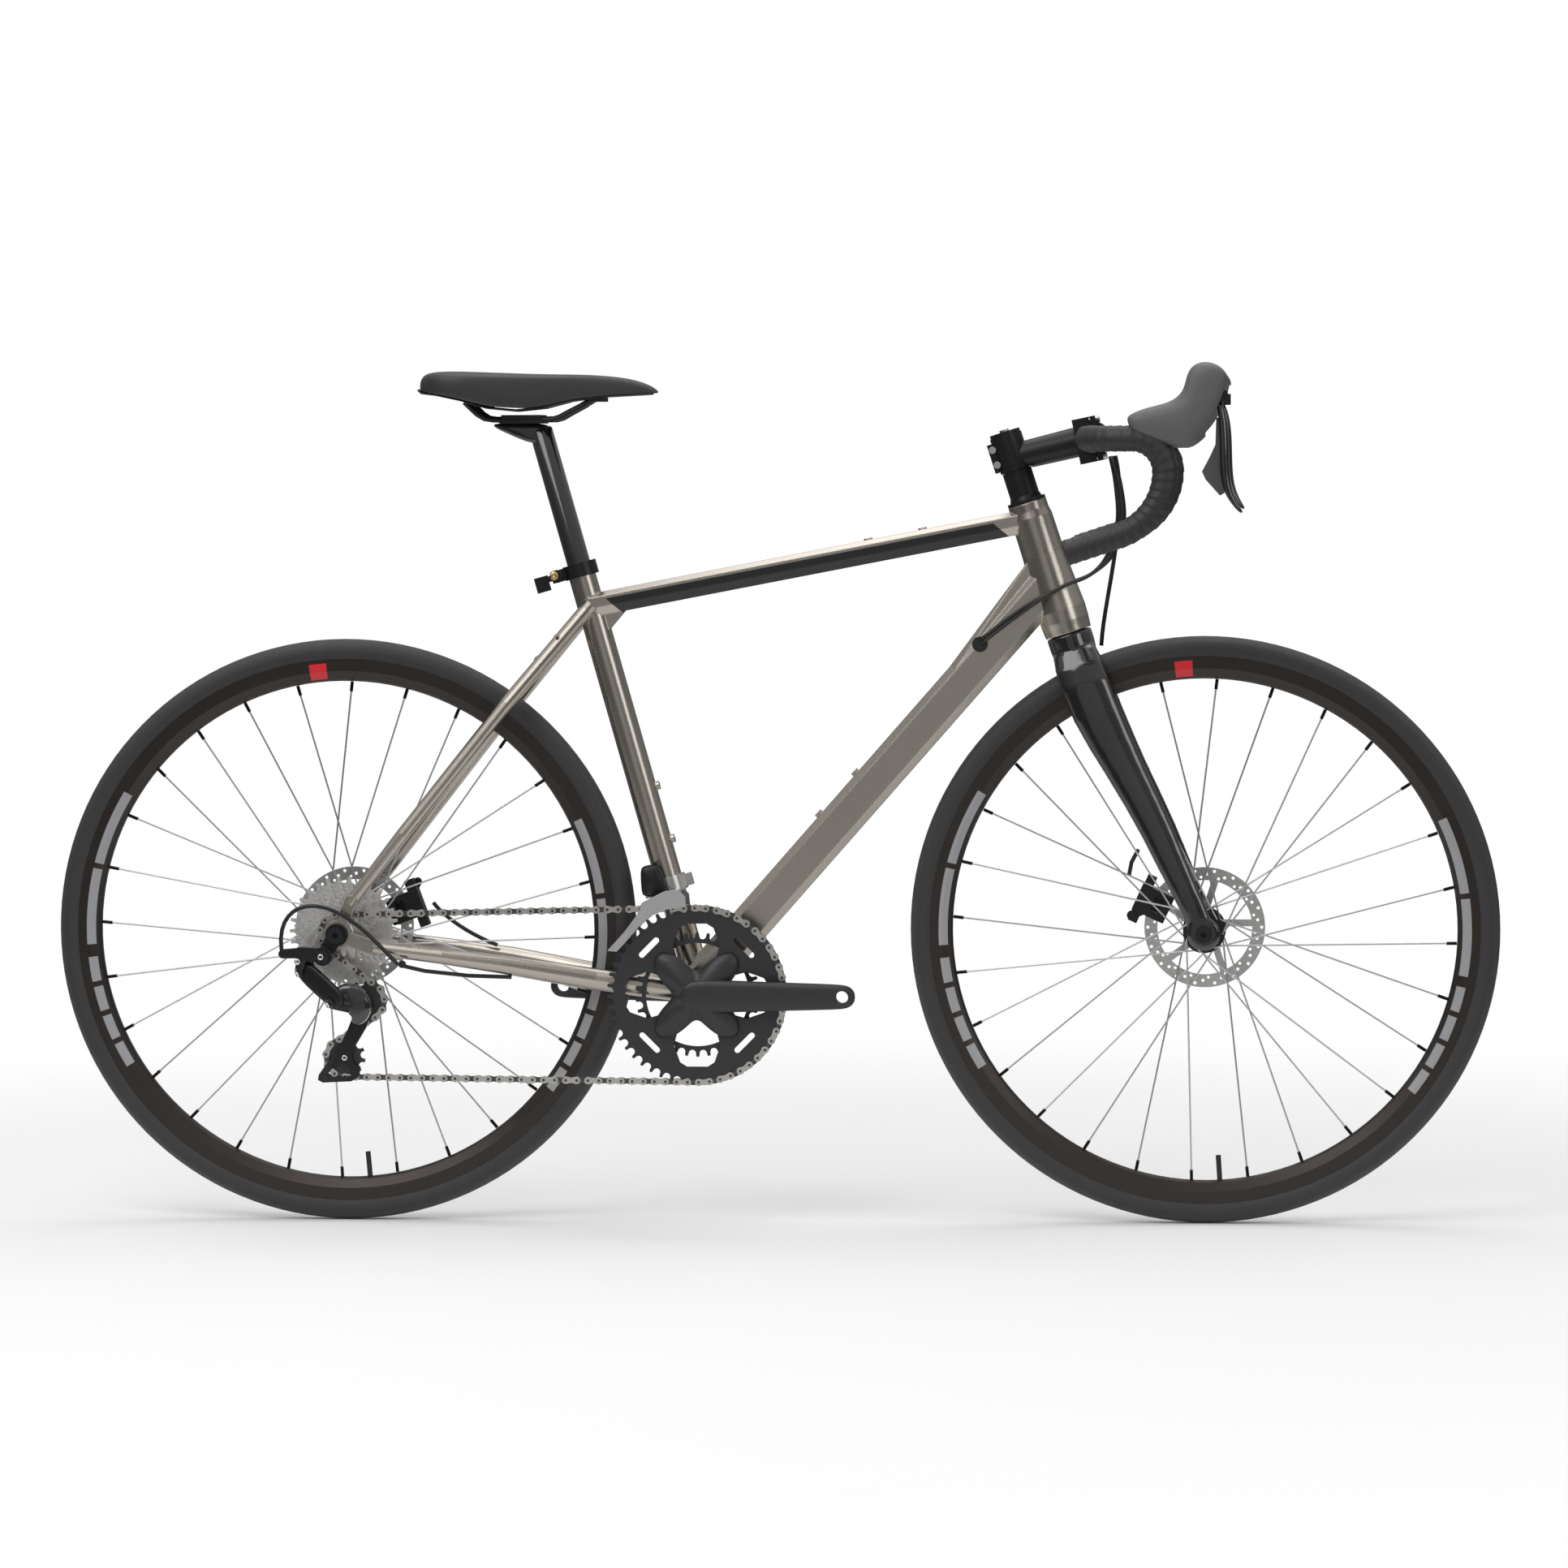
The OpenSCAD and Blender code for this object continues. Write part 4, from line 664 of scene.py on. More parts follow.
def tape_radius(side):
    """Each turn of tape laps over the one before it, and a cable under it leaves a ridge."""
    cable = math.radians(-90 + side * -35)

    def radius(along, a):
        turn = (along / TAPE_PITCH + side * a / (2 * math.pi)) % 1.0
        step = min(turn / TAPE_RISE, (1 - turn) / (1 - TAPE_RISE))
        ends = min(1.0, along / 4)
        off = (a - cable + math.pi) % (2 * math.pi) - math.pi
        ridge = 1.1 * math.exp(-(off / 0.22) ** 2)
        return BAR_R + 1.4 + ends * (0.6 + 0.9 * step + ridge)
    return radius


def build_tapes():
    """Wrapped tape from beside the stem to the end of each drop, with its plug."""
    s = Shape()
    for side in (-1, 1):
        path = bar_path(side, TAPE_START)
        s.sweep(path, tape_radius(side), n=28)
        s.turned(path[-1], DROP_WAY, END_PLUG, 40)
    s.make("bar_tape_wrapped", MATERIALS["tape"], "steering_body", ("bar_tapes",))


# Hood rings from the bar's centre: x and z of the upper point, x and z of the lower point, half width
HOOD_RINGS = (
    (43, 23, 49, 9, 9), (50, 28, 55, 4, 14), (62, 33, 66, -1, 16.5), (76, 36.5, 81, -6, 17.5),
    (90, 40, 98, -11.5, 18), (101, 46, 112, -12, 18), (108, 55, 129, 3, 17.8), (110.5, 68, 142, 18, 17.5),
    (115, 79, 150, 34, 17), (125, 85, 156, 51, 16.5), (138, 85, 158, 62, 15.8), (150, 79, 157, 70, 13.5))


SLOT_HALF = 10.6


def hood_mesh(side):
    """A hood as a loft of rounded rings, from the bar to its horn."""
    rings = []
    for ux, uz, lx, lz, half in HOOD_RINGS:
        top = Vector((BAR_X + ux, side * BAR_HALF, BAR_Z + uz))
        low = Vector((BAR_X + lx, side * BAR_HALF, BAR_Z + lz))
        middle, reach = (top + low) / 2, (top - low) / 2
        rings.append([middle + reach * swell(c, 0.85) + Vector((0, half * swell(w, 0.8), 0))
                      for c, w in round_steps(20)])
    s = Shape()
    s.loft(rings)
    return s


def cut(obj, shape):
    """Removes a shape from a mesh."""
    cutter = finish_mesh("cutter", shape.verts, shape.faces, obj.data.materials[0], None)
    m = obj.modifiers.new("cut", "BOOLEAN")
    m.object = cutter
    m.operation = "DIFFERENCE"
    m.solver = "EXACT"
    apply_modifiers(obj)
    bpy.data.objects.remove(cutter)


def apply_modifiers(obj):
    """Bakes a piece's modifiers into its mesh."""
    bpy.context.view_layer.update()
    graph = bpy.context.evaluated_depsgraph_get()
    mesh = bpy.data.meshes.new_from_object(obj.evaluated_get(graph))
    obj.modifiers.clear()
    obj.data = mesh


def build_hoods():
    """Rubber hoods with a slot in front for the lever to swing in."""
    for name, side in SIDES:
        obj = hood_mesh(side).make("hood_" + name, MATERIALS["rubber"], "steering_body")
        subdivide(obj, 2)
        apply_modifiers(obj)
        y = side * BAR_HALF
        slot = Shape()
        slot.block((BAR_X + 127, y - SLOT_HALF, BAR_Z - 30), (BAR_X + 190, y + SLOT_HALF, BAR_Z + 63))
        cut(obj, slot)
        sharpen(obj, 40)
    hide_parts("hoods")


# Brake lever rows: x and z from the bar's centre, thickness and half width
LEVER_ROWS = (
    (146, 44, 5, 3.6), (149.5, 33, 8, 5), (151.5, 20, 10, 7), (152.6, 4, 11, 8.2), (152.9, -14, 11.4, 8.6),
    (153.2, -34, 11.6, 8.6), (155, -52, 11, 8.2), (160, -66, 9.5, 7.2), (167, -77, 7.2, 6),
    (172.5, -84, 4.4, 4.4))
LEVER_HOLLOW = 1.2


def build_levers():
    """Curved brake blades, their flanks swept a little back."""
    for name, side in SIDES:
        y = side * BAR_HALF
        s = Shape()
        rings = []
        for x, z, thick, half in LEVER_ROWS:
            rings.append([(BAR_X + x + thick / 2 * swell(c, 0.8) - LEVER_HOLLOW * w * w,
                           y + half * swell(w, 0.7), BAR_Z + z) for c, w in round_steps(16)])
        s.loft(rings)
        blade = s.make("lever_blade_" + name, MATERIALS["black_gloss"], "blade_%s_body" % name,
                       ("brake_lever_" + name,))
        subdivide(blade, 2)


def place_y(y, slope=0.0, x0=0.0):
    """Maps a side-view outline to points at one y, which may change along x."""
    return lambda x, z, h: Vector((x, y + slope * (x - x0) + h, z))


def around(at, outline):
    """Moves a side-view outline to a point."""
    return [(at.x + x, at.z + z) for x, z in outline]


def shell(name, outline, place, thickness, mat, body, replaced=(), bevel=0.12, levels=2):
    """A rounded solid from a side-view outline."""
    s = Shape()
    s.prism(outline, place, thickness, bevel)
    return subdivide(s.make(name, mat, body, replaced), levels)


# ---------- Chain ----------

PITCH = 12.7
RING_TEETH = 50
COG_TEETH = 11
# Links that run straight off each wheel before the chain starts to cross over
IN_LINE = 3


def pitch_radius(teeth):
    return PITCH / 2 / math.sin(math.pi / teeth)


def chain_points():
    """Pin centres round the four toothed wheels, in running order."""
    cog = Vector((REAR.x, GUIDE.y, REAR.z))
    wheels = [(CRANK, RING_TEETH, 1), (TENSION, COG_TEETH, 1), (GUIDE, COG_TEETH, -1), (cog, COG_TEETH, 1)]
    dirs = []
    for i, (c, n, s) in enumerate(wheels):
        c2, n2, s2 = wheels[(i + 1) % 4]
        d = Vector((c2.x - c.x, c2.z - c.z))
        lean = math.asin((s * pitch_radius(n) - s2 * pitch_radius(n2)) / d.length)
        dirs.append(math.atan2(d.y, d.x) - lean)
    laps = []
    for i, (c, n, s) in enumerate(wheels):
        start = dirs[(i + 3) % 4] + math.pi / 2 * s
        turn = (s * (start - dirs[i] - math.pi / 2 * s)) % (2 * math.pi)
        r = pitch_radius(n)
        lap = []
        for k in range(int(turn * n / (2 * math.pi)) + 1):
            a = start - s * k * 2 * math.pi / n
            lap.append(Vector((c.x + r * math.cos(a), c.y, c.z + r * math.sin(a))))
        laps.append(lap)
    points = []
    for i, lap in enumerate(laps):
        points += lap
        a, b = lap[-1], laps[(i + 1) % 4][0]
        n = round((b - a).length / PITCH)
        for k in range(1, n):
            p = a + (b - a) * (k / n)
            across = clamp((k - IN_LINE) / max(1, n - 2 * IN_LINE))
            points.append(Vector((p.x, a.y + (b.y - a.y) * across, p.z)))
    return points


ROLLER_R = 3.8
PIN_R = 1.8
PLATE_WIDTH = 0.8


def link_outline(length, r, waist):
    """A chain plate seen from the side: two round ends and a waist."""
    right = [(length / 2 + r * math.cos(a), r * math.sin(a)) for a in np.linspace(-1.9, 1.9, 9)]
    left = [(-length / 2 - r * math.cos(a), -r * math.sin(a)) for a in np.linspace(-1.9, 1.9, 9)]
    return right + [(0, waist)] + left + [(0, -waist)]


def build_chain():
    """Outer and inner links in turn, with a roller and a pin at every joint."""
    points = chain_points()
    outers, inners = Shape(), Shape()
    count = len(points)
    for i, a in enumerate(points):
        b = points[(i + 1) % count]
        d = (b - a).normalized()
        up = d.cross(ACROSS).normalized()
        mid = (a + b) / 2
        outer = i % 2 == 0
        outline = link_outline((b - a).length, 4.2 if outer else ROLLER_R, 2.7)
        for side in (-1, 1):
            y = side * (2.45 if outer else 1.75)

            def place(x, h, w, y=y, mid=mid, d=d, up=up):
                return mid + d * x + up * h + ACROSS * (y + w)
            (outers if outer else inners).prism(outline, place, PLATE_WIDTH)
        inners.turned(a, ACROSS, [(PIN_R, -1.3), (ROLLER_R, -1.3), (ROLLER_R, 1.3), (PIN_R, 1.3)], 14)
        inners.disc(a, ACROSS, PIN_R, 6.2, 10, 0.2)
    sharpen(outers.make("chain_outer_links", MATERIALS["chain"], "frame_body", ("chain",)), 35)
    sharpen(inners.make("chain_inner_links", MATERIALS["chain_dark"], "frame_body"), 35)


# ---------- Saddle ----------

# Saddle rows: share of the length from the tail, share of the half width, then the heights of the top
# and of the lower edge above a line SADDLE_CROWN below the box's top
SADDLE_CROWN = 34.4
SADDLE_ROWS = (
    (0.0, 0.34, 22, 13), (0.02, 0.62, 31, 10.5), (0.06, 0.86, 34.4, 8.5), (0.13, 0.98, 35.2, 5.5),
    (0.21, 1.0, 34.8, 0.5), (0.31, 0.90, 33.6, -8.0), (0.42, 0.71, 32.4, -15.5), (0.52, 0.53, 31.4, -12.0),
    (0.62, 0.40, 31.0, -1.0), (0.74, 0.325, 30.2, 4.0), (0.86, 0.285, 27.2, 6.0), (0.945, 0.235, 21.8, 7.0),
    (0.995, 0.165, 15.4, 7.5), (1.015, 0.08, 10.6, 8.0))


SADDLE_DIP = 1.6


def mirrored(points):
    """A run of points seen in a mirror, in reverse order."""
    return [(-u, z) for u, z in reversed(points)]


def build_saddle():
    """One crowned skin from tail to nose, with a shallow groove along the middle."""
    lo, hi = (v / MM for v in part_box("saddle_cover"))
    floor = hi.z - SADDLE_CROWN
    half = (hi.y - lo.y) / 2
    rings = []
    for share, width, top, low in SADDLE_ROWS:
        x = lo.x + share * (hi.x - lo.x)
        w = width * half
        low_z = max(floor + low, lo.z)
        skirt = floor + top - min(9.0, (floor + top - low_z) * 0.5)
        dip = SADDLE_DIP * clamp((share - 0.05) * 6) * clamp((0.8 - share) * 6)
        crown = floor + top
        right = [(-0.99, low_z), (-1.0, skirt), (-0.93, crown - 3.2), (-0.72, crown - 0.7), (-0.40, crown),
                 (-0.16, crown - dip * 0.5)]
        under = [(0.86, low_z + 1.5), (0.5, low_z + 3.5)]
        profile = right + [(0, crown - dip)] + mirrored(right) + under + [(0, low_z + 4)] + mirrored(under)
        rings.append([(x + 2, w * u, z) for u, z in profile])
    s = Shape()
    s.loft(rings)
    cover = s.make("saddle_padding", MATERIALS["saddle"], "seat_body", ("saddle_cover",))
    subdivide(cover, 3)


# ---------- Seatpost ----------

SEAT_FOOT = Vector((CRANK.x, 0, CRANK.z))
POST_R = 13.6
POST_TOP = 681
# The post's head seen from the side, from the crank's axis
HEAD_SHELL = ((-170, 657), (-171, 645), (-180, 637), (-197, 639), (-217, 648), (-235, 656), (-239, 661),
              (-229, 662), (-177, 662))
SOCKET_Y = 11.5
NUT_R = 5.2


def build_seatpost():
    """A straight post with a forged head under the rail clamp, and the ends of the rails in their sockets."""
    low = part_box("seatpost")[0].z / MM
    start = (low - SEAT_FOOT.z) / SEAT_UP.z + 4
    length = POST_TOP - start
    s = Shape()
    s.turned(SEAT_FOOT + SEAT_UP * start, SEAT_UP,
             [(0.01, 0), (POST_R, 0), (POST_R, length - 3), (POST_R - 1.5, length - 0.8), (0.01, length)], 64)
    black = MATERIALS["black_gloss"]
    sharpen(s.make("seatpost_tube", black, "seat_body", ("seatpost",)), 50)
    shell("seatpost_head", around(SEAT_FOOT, HEAD_SHELL), place_y(0), 26, black, "seat_body", (), 0.10)
    rail_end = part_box("saddle_rails")[1]
    x, z = rail_end.x / MM, rail_end.z / MM
    tips = Shape()
    for side in (-1, 1):
        y = side * SOCKET_Y
        rail = [(x - 5, side * 13.4, z - 7), (x + 3, side * 12, z - 2.5), (x + 12, side * 10.5, z + 3)]
        tips.sweep(rail, 3.5, 12)
        tips.block((x + 2, y - 5, z - 3), (x + 22, y + 5, z + 8))
    sharpen(tips.make("saddle_rail_sockets", MATERIALS["black_satin"], "seat_body"), 40)
    nut_at = joint("seat_lever_swing")[0]
    nut = Shape()
    nut.turned((nut_at.x - 2, 0, nut_at.z + 1), ACROSS,
               [(0.01, -27), (NUT_R - 1, -27), (NUT_R, -26), (NUT_R, -20.5), (0.01, -20.5)], 12)
    nut.make("seat_clamp_nut", MATERIALS["brass"], "frame_body")


# ---------- Fork ----------

# Leg rows: distance up the steering axis, half depth, forward offset, sideways centre, half width
LEG_ROWS = (
    (340, 24.5, -0.5, 14, 12.5), (322, 27.2, 0, 25, 12), (300, 28.4, 1.5, 31.5, 10.8),
    (262, 28.0, 4.2, 34.5, 10), (226, 25.8, 9.5, 36.5, 9.4), (190, 23.0, 16.0, 39.5, 8.8),
    (150, 20.8, 23.5, 43.5, 8.2), (110, 19.0, 30.0, 47.5, 7.6), (70, 17.2, 35.0, 51.5, 7.0),
    (40, 15.6, 39.0, 54.5, 6.4), (18, 15.0, 42.0, 56, 6.0), (0, 14.6, 43.6, 56, 6.0), (-12, 9, 44.5, 56, 5.6))
LEG_FOOT_Y = 56
LEG_FOOT_R = 19
LEG_FOOT_WIDTH = 11.8
CROWN = ((0.01, 330), (20, 330.5), (25.2, 334), (26.4, 345), (26.4, 360.3), (18.9, 360.4), (14.3, 362),
         (0.01, 362))
STEERER_R = 14.3
STEERER_WALL = 2.8
STEERER_SPAN = (360, 590)


def blend_solids(obj, voxel_mm, rounds):
    """Melts overlapping solids into one skin with soft joins."""
    m = obj.modifiers.new("melt", "REMESH")
    m.mode = "VOXEL"
    m.voxel_size = voxel_mm * MM
    m = obj.modifiers.new("soften", "SMOOTH")
    m.factor = 0.5
    m.iterations = rounds
    apply_modifiers(obj)
    shade_smooth(obj.data)


def build_fork():
    """Two tapering legs, the crown ring between them and the steerer tube."""
    s = Shape()
    forward = Vector((0, 1, 0)).cross(STEER_UP)
    for side in (-1, 1):
        rings = []
        for t, deep, offset, y, half in LEG_ROWS:
            middle = steer_point(t) + forward * offset + Vector((0, side * y, 0))
            rings.append([middle + forward * (deep * swell(c, 0.9)) + Vector((0, half * swell(w, 0.9), 0))
                          for c, w in round_steps(24)])
        s.loft(rings)
        s.disc((FRONT.x, side * LEG_FOOT_Y, FRONT.z), ACROSS, LEG_FOOT_R, LEG_FOOT_WIDTH, 48, 1.5)
    foot = steer_point(0)
    s.turned(foot, STEER_UP, CROWN, 64)
    low, high = STEERER_SPAN
    bore = STEERER_R - STEERER_WALL
    s.turned(foot, STEER_UP, [(bore, low), (STEERER_R, low), (STEERER_R, high), (bore, high)], 48)
    fork = s.make("carbon_fork", MATERIALS["black_gloss"], "steering_body", ("fork",))
    blend_solids(fork, 2.0, 8)


# ---------- Cables ----------

# Cable points: x, y and z from the bar's centre, then how far the second cable stands off in each way,
# as shares of CABLE_GAP forwards and outwards and of CABLE_DROP downwards
CABLE_POINTS = (
    (21, 40, -20, 0, 1, 0), (27, 43, -52, 0.4, 1, 0), (29, 46, -95, 0.6, 1, 0), (17, 46, -134, 0.5, 1, 0),
    (-3, 43, -156, 0, 0.8, 0), (-32, 38, -168, 0, 0.5, 0), (-64, 33, -184, 0, 0.3, 0.5),
    (-98, 27, -206, 0, 0, 1), (-128, 25.2, -229, 0, 0, 1))
CABLE_GAP = 9
CABLE_DROP = 5
CABLE_R = 2.1
# Where the cables are meant to stop following the frame and to follow the bar fully, in metres; nothing in this
# script bends the cables by these numbers
CABLE_FRAME_END = (0.262, 0, 0.68)
CABLE_BAR_END = (0.40, 0, 0.80)


def build_cables():
    """Two cables on each side, from under the bar round the head tube into the down tube."""
    for name, side in SIDES:
        s = Shape()
        for out, apart in ((0, 0), (CABLE_GAP, CABLE_DROP)):
            path = [(BAR_X + x + out * forward, side * (y + out * outward), BAR_Z + z - apart * down)
                    for x, y, z, forward, outward, down in CABLE_POINTS]
            s.sweep(smooth_path(path, 6), CABLE_R, 12)
        replaced = ("bar_housings",) if side > 0 else ()
        s.make("bar_cables_" + name, MATERIALS["housing"], None, replaced,
               blend=("frame_body", "steering_body", CABLE_FRAME_END, CABLE_BAR_END))


# ---------- Small hardware ----------

def bolt(s, at, axis, r, depth=2.4):
    """A bolt head with a socket, its face looking along axis."""
    head = [(0.01, -depth), (r, -depth), (r, -0.5), (r - 0.5, 0)]
    socket = [(r * 0.52, 0), (r * 0.45, -1.3), (0.01, -1.3)]
    s.turned(at, axis, head + socket, 24)


# Side-view outlines as (x, z): the link from its upper pivot, the knuckle from the cage's pivot, and the
# cage plates and their window from the guide pulley
LINK_SHELL = ((-12, 1), (-4, 9), (9, 7), (29, -10), (48, -25), (51, -37), (43, -46), (30, -42), (7, -24),
              (-9, -10))
KNUCKLE_SHELL = ((-38, 9), (-30, 23), (-14, 30), (3, 24), (13.5, 11), (15, -4), (9, -16), (-2, -23),
                 (-9, -17), (-7, -8), (-14, -2), (-28, -1))
CAGE_PLATE = ((9, 0), (8, -12), (1, -30), (-8, -45), (-14, -55), (-16, -64), (-14, -72), (-7, -78),
              (-9, -89), (-17, -93.5), (-50, -95), (-56, -92), (-55, -86), (-43, -69), (-29, -50), (-21, -34),
              (-16, -22), (-13, -10), (-10, 2), (-1, 9))
CAGE_WINDOW = ((-14, -80), (-21, -75), (-30, -72), (-36, -75), (-45, -85), (-40, -88.5), (-18, -87.5))
STOP_SCREWS = ((-6, 9.5), (21, 15))


def build_derailleur():
    """Rounded link and knuckle covers, cage plates with an open window, and the bolts."""
    link_at, link_axis = joint("derailleur_link_swing")
    if link_axis.y > 0:
        link_axis = -link_axis
    knuckle_at = joint("derailleur_knuckle_turn")[0]
    cage_at = joint("derailleur_cage_swing")[0]
    slope = (knuckle_at.y - link_at.y) / (knuckle_at.x - link_at.x)
    black, satin, silver = MATERIALS["black_gloss"], MATERIALS["black_satin"], MATERIALS["silver"]
    shell("derailleur_link_cover", around(link_at, LINK_SHELL), place_y(link_at.y - 1, slope, link_at.x), 17,
          satin, "link_body", ("derailleur_link",))
    shell("derailleur_knuckle_cover", around(cage_at, KNUCKLE_SHELL), place_y(GUIDE.y - 24), 27, black,
          "knuckle_body")
    for name, side in (("outer", -1), ("inner", 1)):
        place = place_y(GUIDE.y + side * 4.8)
        s = Shape()
        s.prism(around(GUIDE, CAGE_PLATE), place, 1.8, 0.01)
        plate = s.make("cage_plate_" + name, satin, "cage_body")
        window = Shape()
        window.prism(around(GUIDE, CAGE_WINDOW), place, 8)
        cut(plate, window)
        sharpen(plate, 35)
    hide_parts("derailleur_cage")
    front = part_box("derailleur_bracket")[0].y / MM
    heads = Shape()
    for x, z in around(link_at, STOP_SCREWS):
        bolt(heads, Vector((x, front - 0.5, z)), -ACROSS, 3.6, 2.4)
    heads.make("derailleur_stop_screws", silver, "frame_body")
    for name, at, reach, r, body in (("derailleur_pivot_bolt", link_at, 13.5, 3.8, "frame_body"),
                                     ("derailleur_link_bolt", knuckle_at, 13.5, 3.6, "link_body")):
        s = Shape()
        bolt(s, at + link_axis * reach, link_axis, r)
        s.make(name, silver, body)
    pulleys = Shape()
    for p in (GUIDE, TENSION):
        bolt(pulleys, Vector((p.x, GUIDE.y - 6.6, p.z)), -ACROSS, 3.4, 2.0)
    pulleys.make("pulley_bolts", silver, "cage_body")


# Front derailleur seen from the side, from the crank's axis: cage plate, the pins between its two plates,
# and the body behind the seat tube
FRONT_CAGE = ((-103, 52), (-92, 51), (-80, 64), (-67, 79), (-52, 92), (-34, 100), (-11, 103), (-12, 115),
              (-20, 123), (-36, 121), (-52, 113), (-62, 107), (-68, 94), (-83, 74))
FRONT_CAGE_PINS = ((-23, 120), (-60, 105), (-96, 54))
FRONT_BODY = ((-64, 112), (-66, 116), (-67.5, 144), (-65, 148), (-53, 150), (-43, 147), (-35, 116),
              (-37, 111))


def build_front_derailleur():
    """A bright two-plate cage and the dark body that carries it behind the seat tube."""
    lo, hi = (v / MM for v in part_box("front_derailleur_cage"))
    bright, satin = MATERIALS["silver"], MATERIALS["black_satin"]
    s = Shape()
    for y in (lo.y + 0.7, hi.y - 0.7):
        s.prism(around(CRANK, FRONT_CAGE), place_y(y), 1.4)
    for x, z in around(CRANK, FRONT_CAGE_PINS):
        s.block((x - 3.5, lo.y + 1, z - 1.5), (x + 3.5, hi.y - 1, z + 1.5))
    cage = s.make("front_cage_plates", bright, "front_cage_body", ("front_derailleur_cage",))
    sharpen(cage, 30)
    body = around(CRANK, FRONT_BODY)
    shell("front_derailleur_body", body, place_y(-22), 26, satin, "frame_body", (), 0.08, 1)


# ---------- Cranks ----------

# Crank arm rows: distance from the axle, or past the pedal's eye, then half height and half thickness
ARM_ROWS = ((-17.5, 5, 2), (-16, 11, 5), (-10, 16, 6.5), (0, 19.6, 7), (25, 19.2, 7), (60, 18, 6.8),
            (110, 16.4, 6.5))
ARM_END_ROWS = ((-8, 15, 6.3), (6, 13.8, 6), (12, 9.5, 5), (15, 4, 2.5))
EYE_R = 15
THREAD_R = 7.14
# Spider rings: share of the radius and y; the last one lies under the arm
SPIDER_RINGS = ((1.0, -51.3), (1.0, -54), (0.96, -57), (0.80, -59.5))
SPIDER_HUB_R = 29
SPIDER_LOBE = 36
SPINDLE_R = 12


def build_crank(name, side, way):
    """A forged arm with rounded flanks and a pedal hole; returns the y of its outer face."""
    lo, hi = (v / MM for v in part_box("crank_" + name))
    eye = hi.x if way > 0 else lo.x
    length = abs(eye - CRANK.x) - EYE_R
    face = hi.y if side > 0 else lo.y
    mat = MATERIALS["crank_grey"]
    rings = []
    rows = list(ARM_ROWS) + [(length + past, half, deep) for past, half, deep in ARM_END_ROWS]
    for along, half, deep in rows:
        share = max(0.0, along) / length
        y = face - side * (6.6 + 6.5 * (1 - share))
        rings.append([(CRANK.x + way * along, y + deep * swell(w, 0.7), CRANK.z + half * swell(c, 0.8))
                      for c, w in round_steps(20)])
    s = Shape()
    s.loft(rings)
    arm = subdivide(s.make("crank_arm_" + name, mat, "crankset"), 1)
    apply_modifiers(arm)
    hole = Shape()
    outline = [(0.01, -30), (THREAD_R, -30), (THREAD_R, 30), (0.01, 30)]
    hole.turned((CRANK.x + way * length, face, CRANK.z), ACROSS, outline, 32)
    cut(arm, hole)
    sharpen(arm, 40)
    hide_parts("crank_" + name)
    return face


def build_cranks():
    """Both arms, the four-armed spider and the spindle with its collar."""
    build_crank("left", 1, -1)
    face = build_crank("right", -1, 1)
    mat = MATERIALS["crank_grey"]
    rings = []
    for share, y in SPIDER_RINGS + ((0.4, face + 9),):
        ring = []
        for k in range(96):
            a = 2 * math.pi * k / 96
            r = SPIDER_HUB_R + SPIDER_LOBE * (0.5 - 0.5 * math.cos(4 * a)) ** 1.25
            ring.append((CRANK.x + share * r * math.cos(a), y, CRANK.z + share * r * math.sin(a)))
        rings.append(ring)
    spider = Shape()
    spider.loft(rings)
    sharpen(spider.make("crank_spider", mat, "crankset"), 50)
    axle = Shape()
    r, bore, collar = SPINDLE_R, SPINDLE_R - 4, SPINDLE_R + 6
    axle.turned((CRANK.x, 0, CRANK.z), ACROSS, [(bore, -60), (r, -60), (r, 62), (bore, 62)], 40)
    axle.turned((CRANK.x, 58, CRANK.z), ACROSS, [(r, -12), (collar, -12), (collar, 4), (r, 4)], 40)
    sharpen(axle.make("crank_spindle", MATERIALS["steel"], "crankset"), 40)


# ---------- Floor, light and camera ----------

FLOOR_RADII = (20, 1500, 6000)
FLOOR_FADE = (0.8, 2.3)
# Name, place in metres, size and power
LIGHTS = (("key", (-1.6, -2.6, 3.4), 2.6, 62), ("fill", (3.4, -3.0, 1.8), 1.6, 20),
          ("top", (0.2, 0.6, 3.8), 3.0, 52), ("low", (0.0, -4.5, 0.5), 2.4, 5))


def floor_ring(r):
    """A ring of floor points just under the tyres."""
    return [(r * math.cos(a), r * math.sin(a), -0.4) for a in np.linspace(0, 2 * math.pi, 64, endpoint=False)]


def build_floor():
    """A pale disc that fades out into the white behind it."""
    floor = Shape()
    rings = [floor_ring(r) for r in FLOOR_RADII]
    floor.loft(rings, caps=False)
    floor.add(rings[0], [tuple(range(64))])
    pale = Finish("pale_floor", (0.92, 0.92, 0.92), 0.0, 0.9)
    pale.speckle(pale.noise(3), 0.01)
    x, y, z = pale.axes()
    r2 = pale.math("ADD", pale.math("MULTIPLY", x, x), pale.math("MULTIPLY", y, y))
    fade = pale.smooth(pale.math("SQRT", r2), *FLOOR_FADE)
    pale.links.new(pale.math("SUBTRACT", 1.0, fade), pale.shader.inputs["Alpha"])
    mesh = bpy.data.meshes.new("floor")
    mesh.from_pydata([Vector(v) * MM for v in floor.verts], [], floor.faces)
    mesh.materials.append(pale.done())
    obj = bpy.data.objects.new("floor", mesh)
    bpy.context.scene.collection.objects.link(obj)


def build_lights():
    """Soft square lights that all look at the middle of the bicycle."""
    for name, at, size, power in LIGHTS:
        data = bpy.data.lights.new(name, "AREA")
        data.size = size
        data.energy = power
        lamp = bpy.data.objects.new(name, data)
        lamp.location = at
        lamp.rotation_mode = "QUATERNION"
        lamp.rotation_quaternion = (Vector((0, 0, 0.5)) - Vector(at)).to_track_quat("-Z", "Y")
        bpy.context.scene.collection.objects.link(lamp)


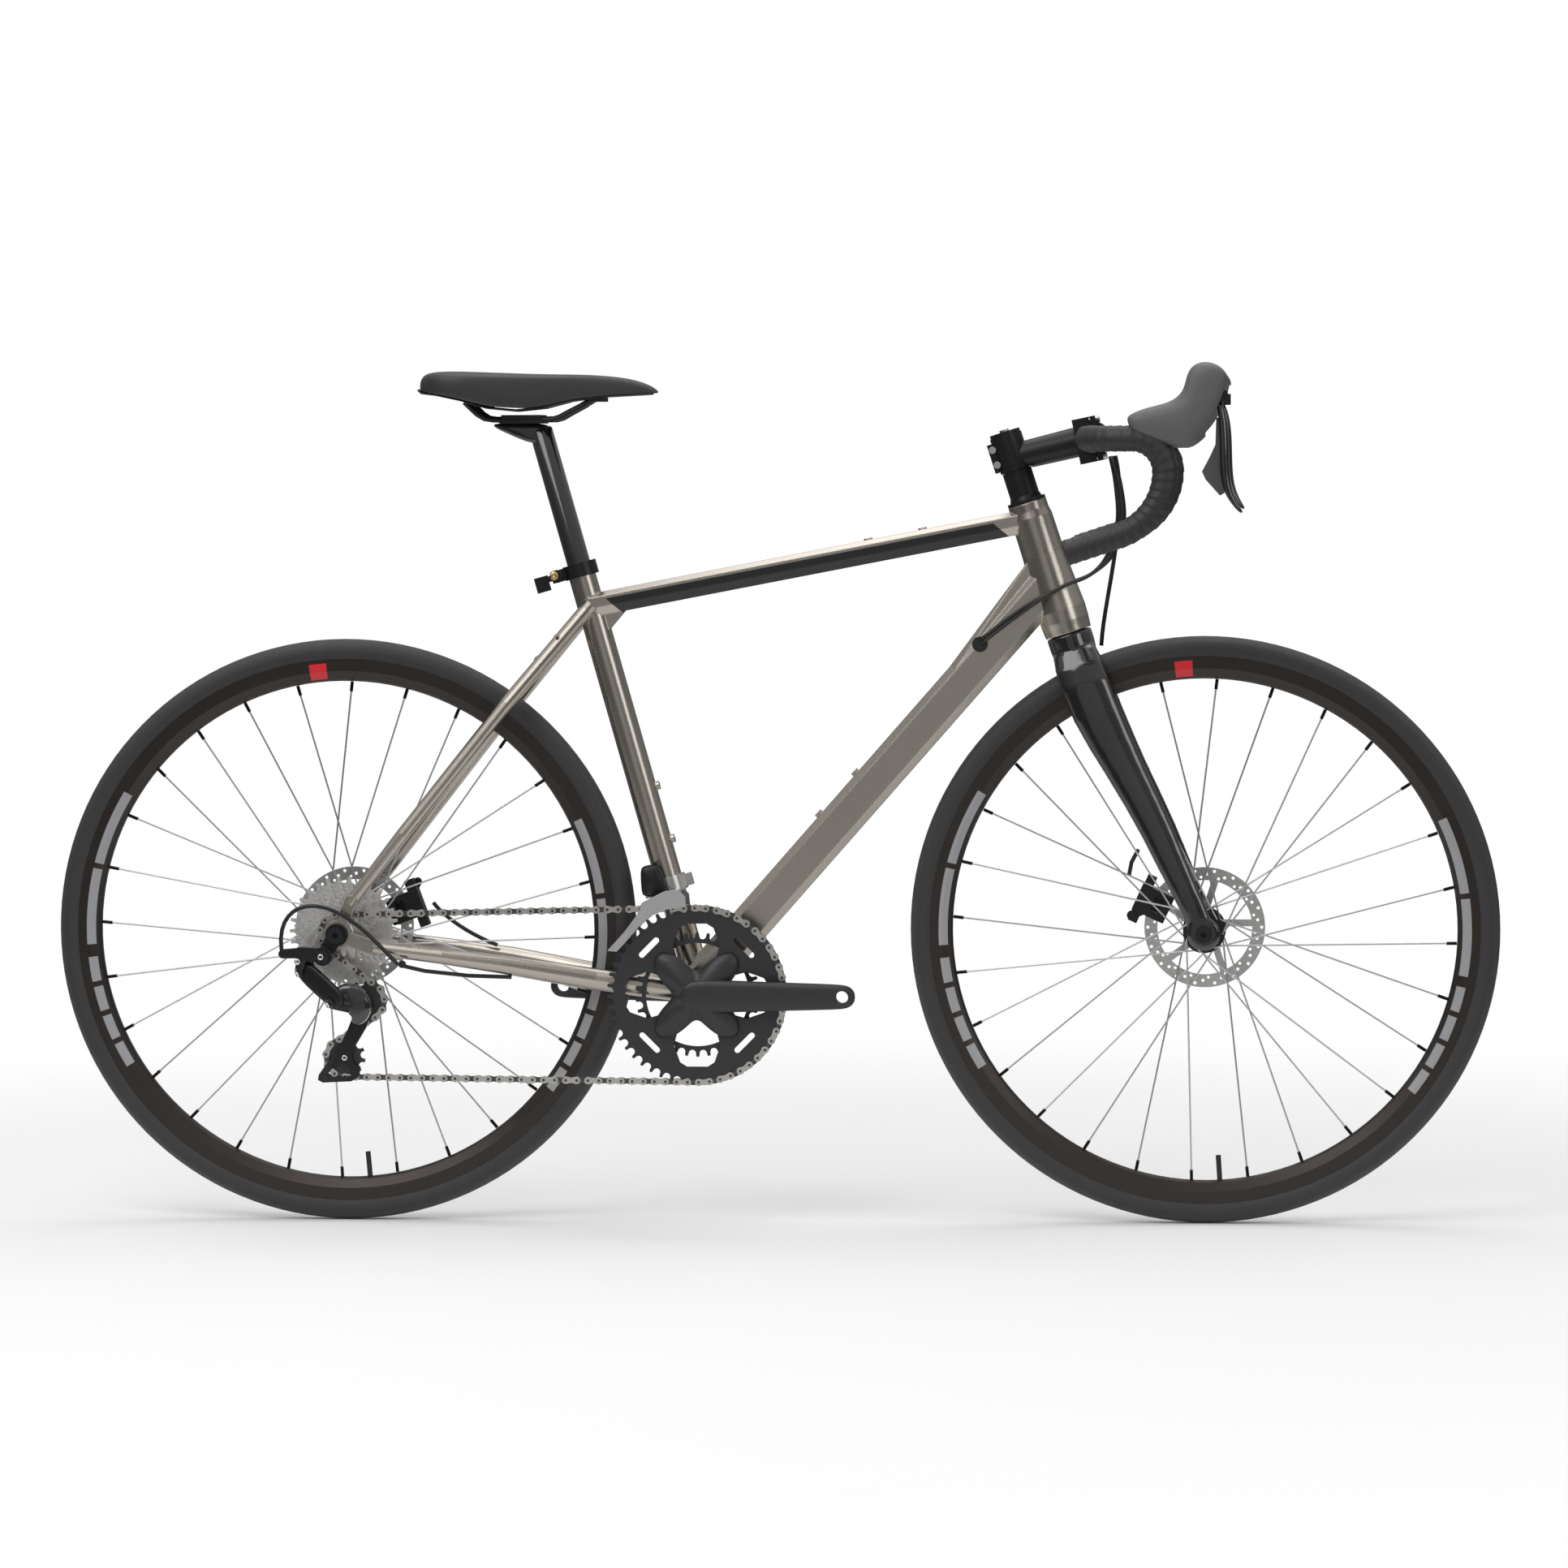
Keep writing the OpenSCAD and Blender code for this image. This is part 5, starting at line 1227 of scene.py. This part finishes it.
def build_world():
    """White to the camera; a dim room with a bright ceiling to everything else."""
    world = bpy.data.worlds.new("studio")
    bpy.context.scene.world = world
    world.use_nodes = True
    nodes, links = world.node_tree.nodes, world.node_tree.links
    room = nodes["Background"]
    place = nodes.new("ShaderNodeTexCoord")
    split = nodes.new("ShaderNodeSeparateXYZ")
    links.new(place.outputs["Generated"], split.inputs[0])
    level = nodes.new("ShaderNodeMapRange")
    level.interpolation_type = "SMOOTHSTEP"
    links.new(split.outputs["Z"], level.inputs["Value"])
    for socket, amount in (("From Min", -0.15), ("From Max", 0.75), ("To Min", 0.10), ("To Max", 0.60)):
        level.inputs[socket].default_value = amount
    links.new(level.outputs["Result"], room.inputs["Strength"])
    room.inputs["Color"].default_value = (1, 1, 1, 1)
    white = nodes.new("ShaderNodeBackground")
    white.inputs["Color"].default_value = (1, 1, 1, 1)
    mix = nodes.new("ShaderNodeMixShader")
    path = nodes.new("ShaderNodeLightPath")
    links.new(path.outputs["Is Camera Ray"], mix.inputs["Fac"])
    links.new(room.outputs[0], mix.inputs[1])
    links.new(white.outputs[0], mix.inputs[2])
    links.new(mix.outputs[0], nodes["World Output"].inputs["Surface"])


CAMERA_AT = (0.584, -6.78, 0.896)
CAMERA_ANGLES = (4.81, -3.25, 0.35)
LENS = 134.74


def build_camera():
    """A long lens from the right, a little ahead of the middle and a little above the hubs."""
    yaw, pitch, roll = (math.radians(a) for a in CAMERA_ANGLES)
    turn = Matrix.Rotation(yaw, 3, "Z") @ Matrix.Rotation(pitch, 3, "X") @ Matrix.Rotation(roll, 3, "Y")
    right, forward, up = turn.col[0], turn.col[1], turn.col[2]
    data = bpy.data.cameras.new("camera")
    data.sensor_width = 36
    data.lens = LENS
    data.clip_end = 200
    cam = bpy.data.objects.new("camera", data)
    look = Matrix((right, up, -forward)).transposed().to_4x4()
    cam.matrix_world = Matrix.Translation(CAMERA_AT) @ look
    bpy.context.scene.collection.objects.link(cam)
    bpy.context.scene.camera = cam


paint_cad()
build_tapes()
build_hoods()
build_levers()
build_chain()
build_saddle()
build_seatpost()
build_fork()
build_cables()
build_derailleur()
build_front_derailleur()
build_cranks()
build_floor()
build_world()
build_lights()
build_camera()
bpy.context.scene.view_settings.view_transform = "Standard"
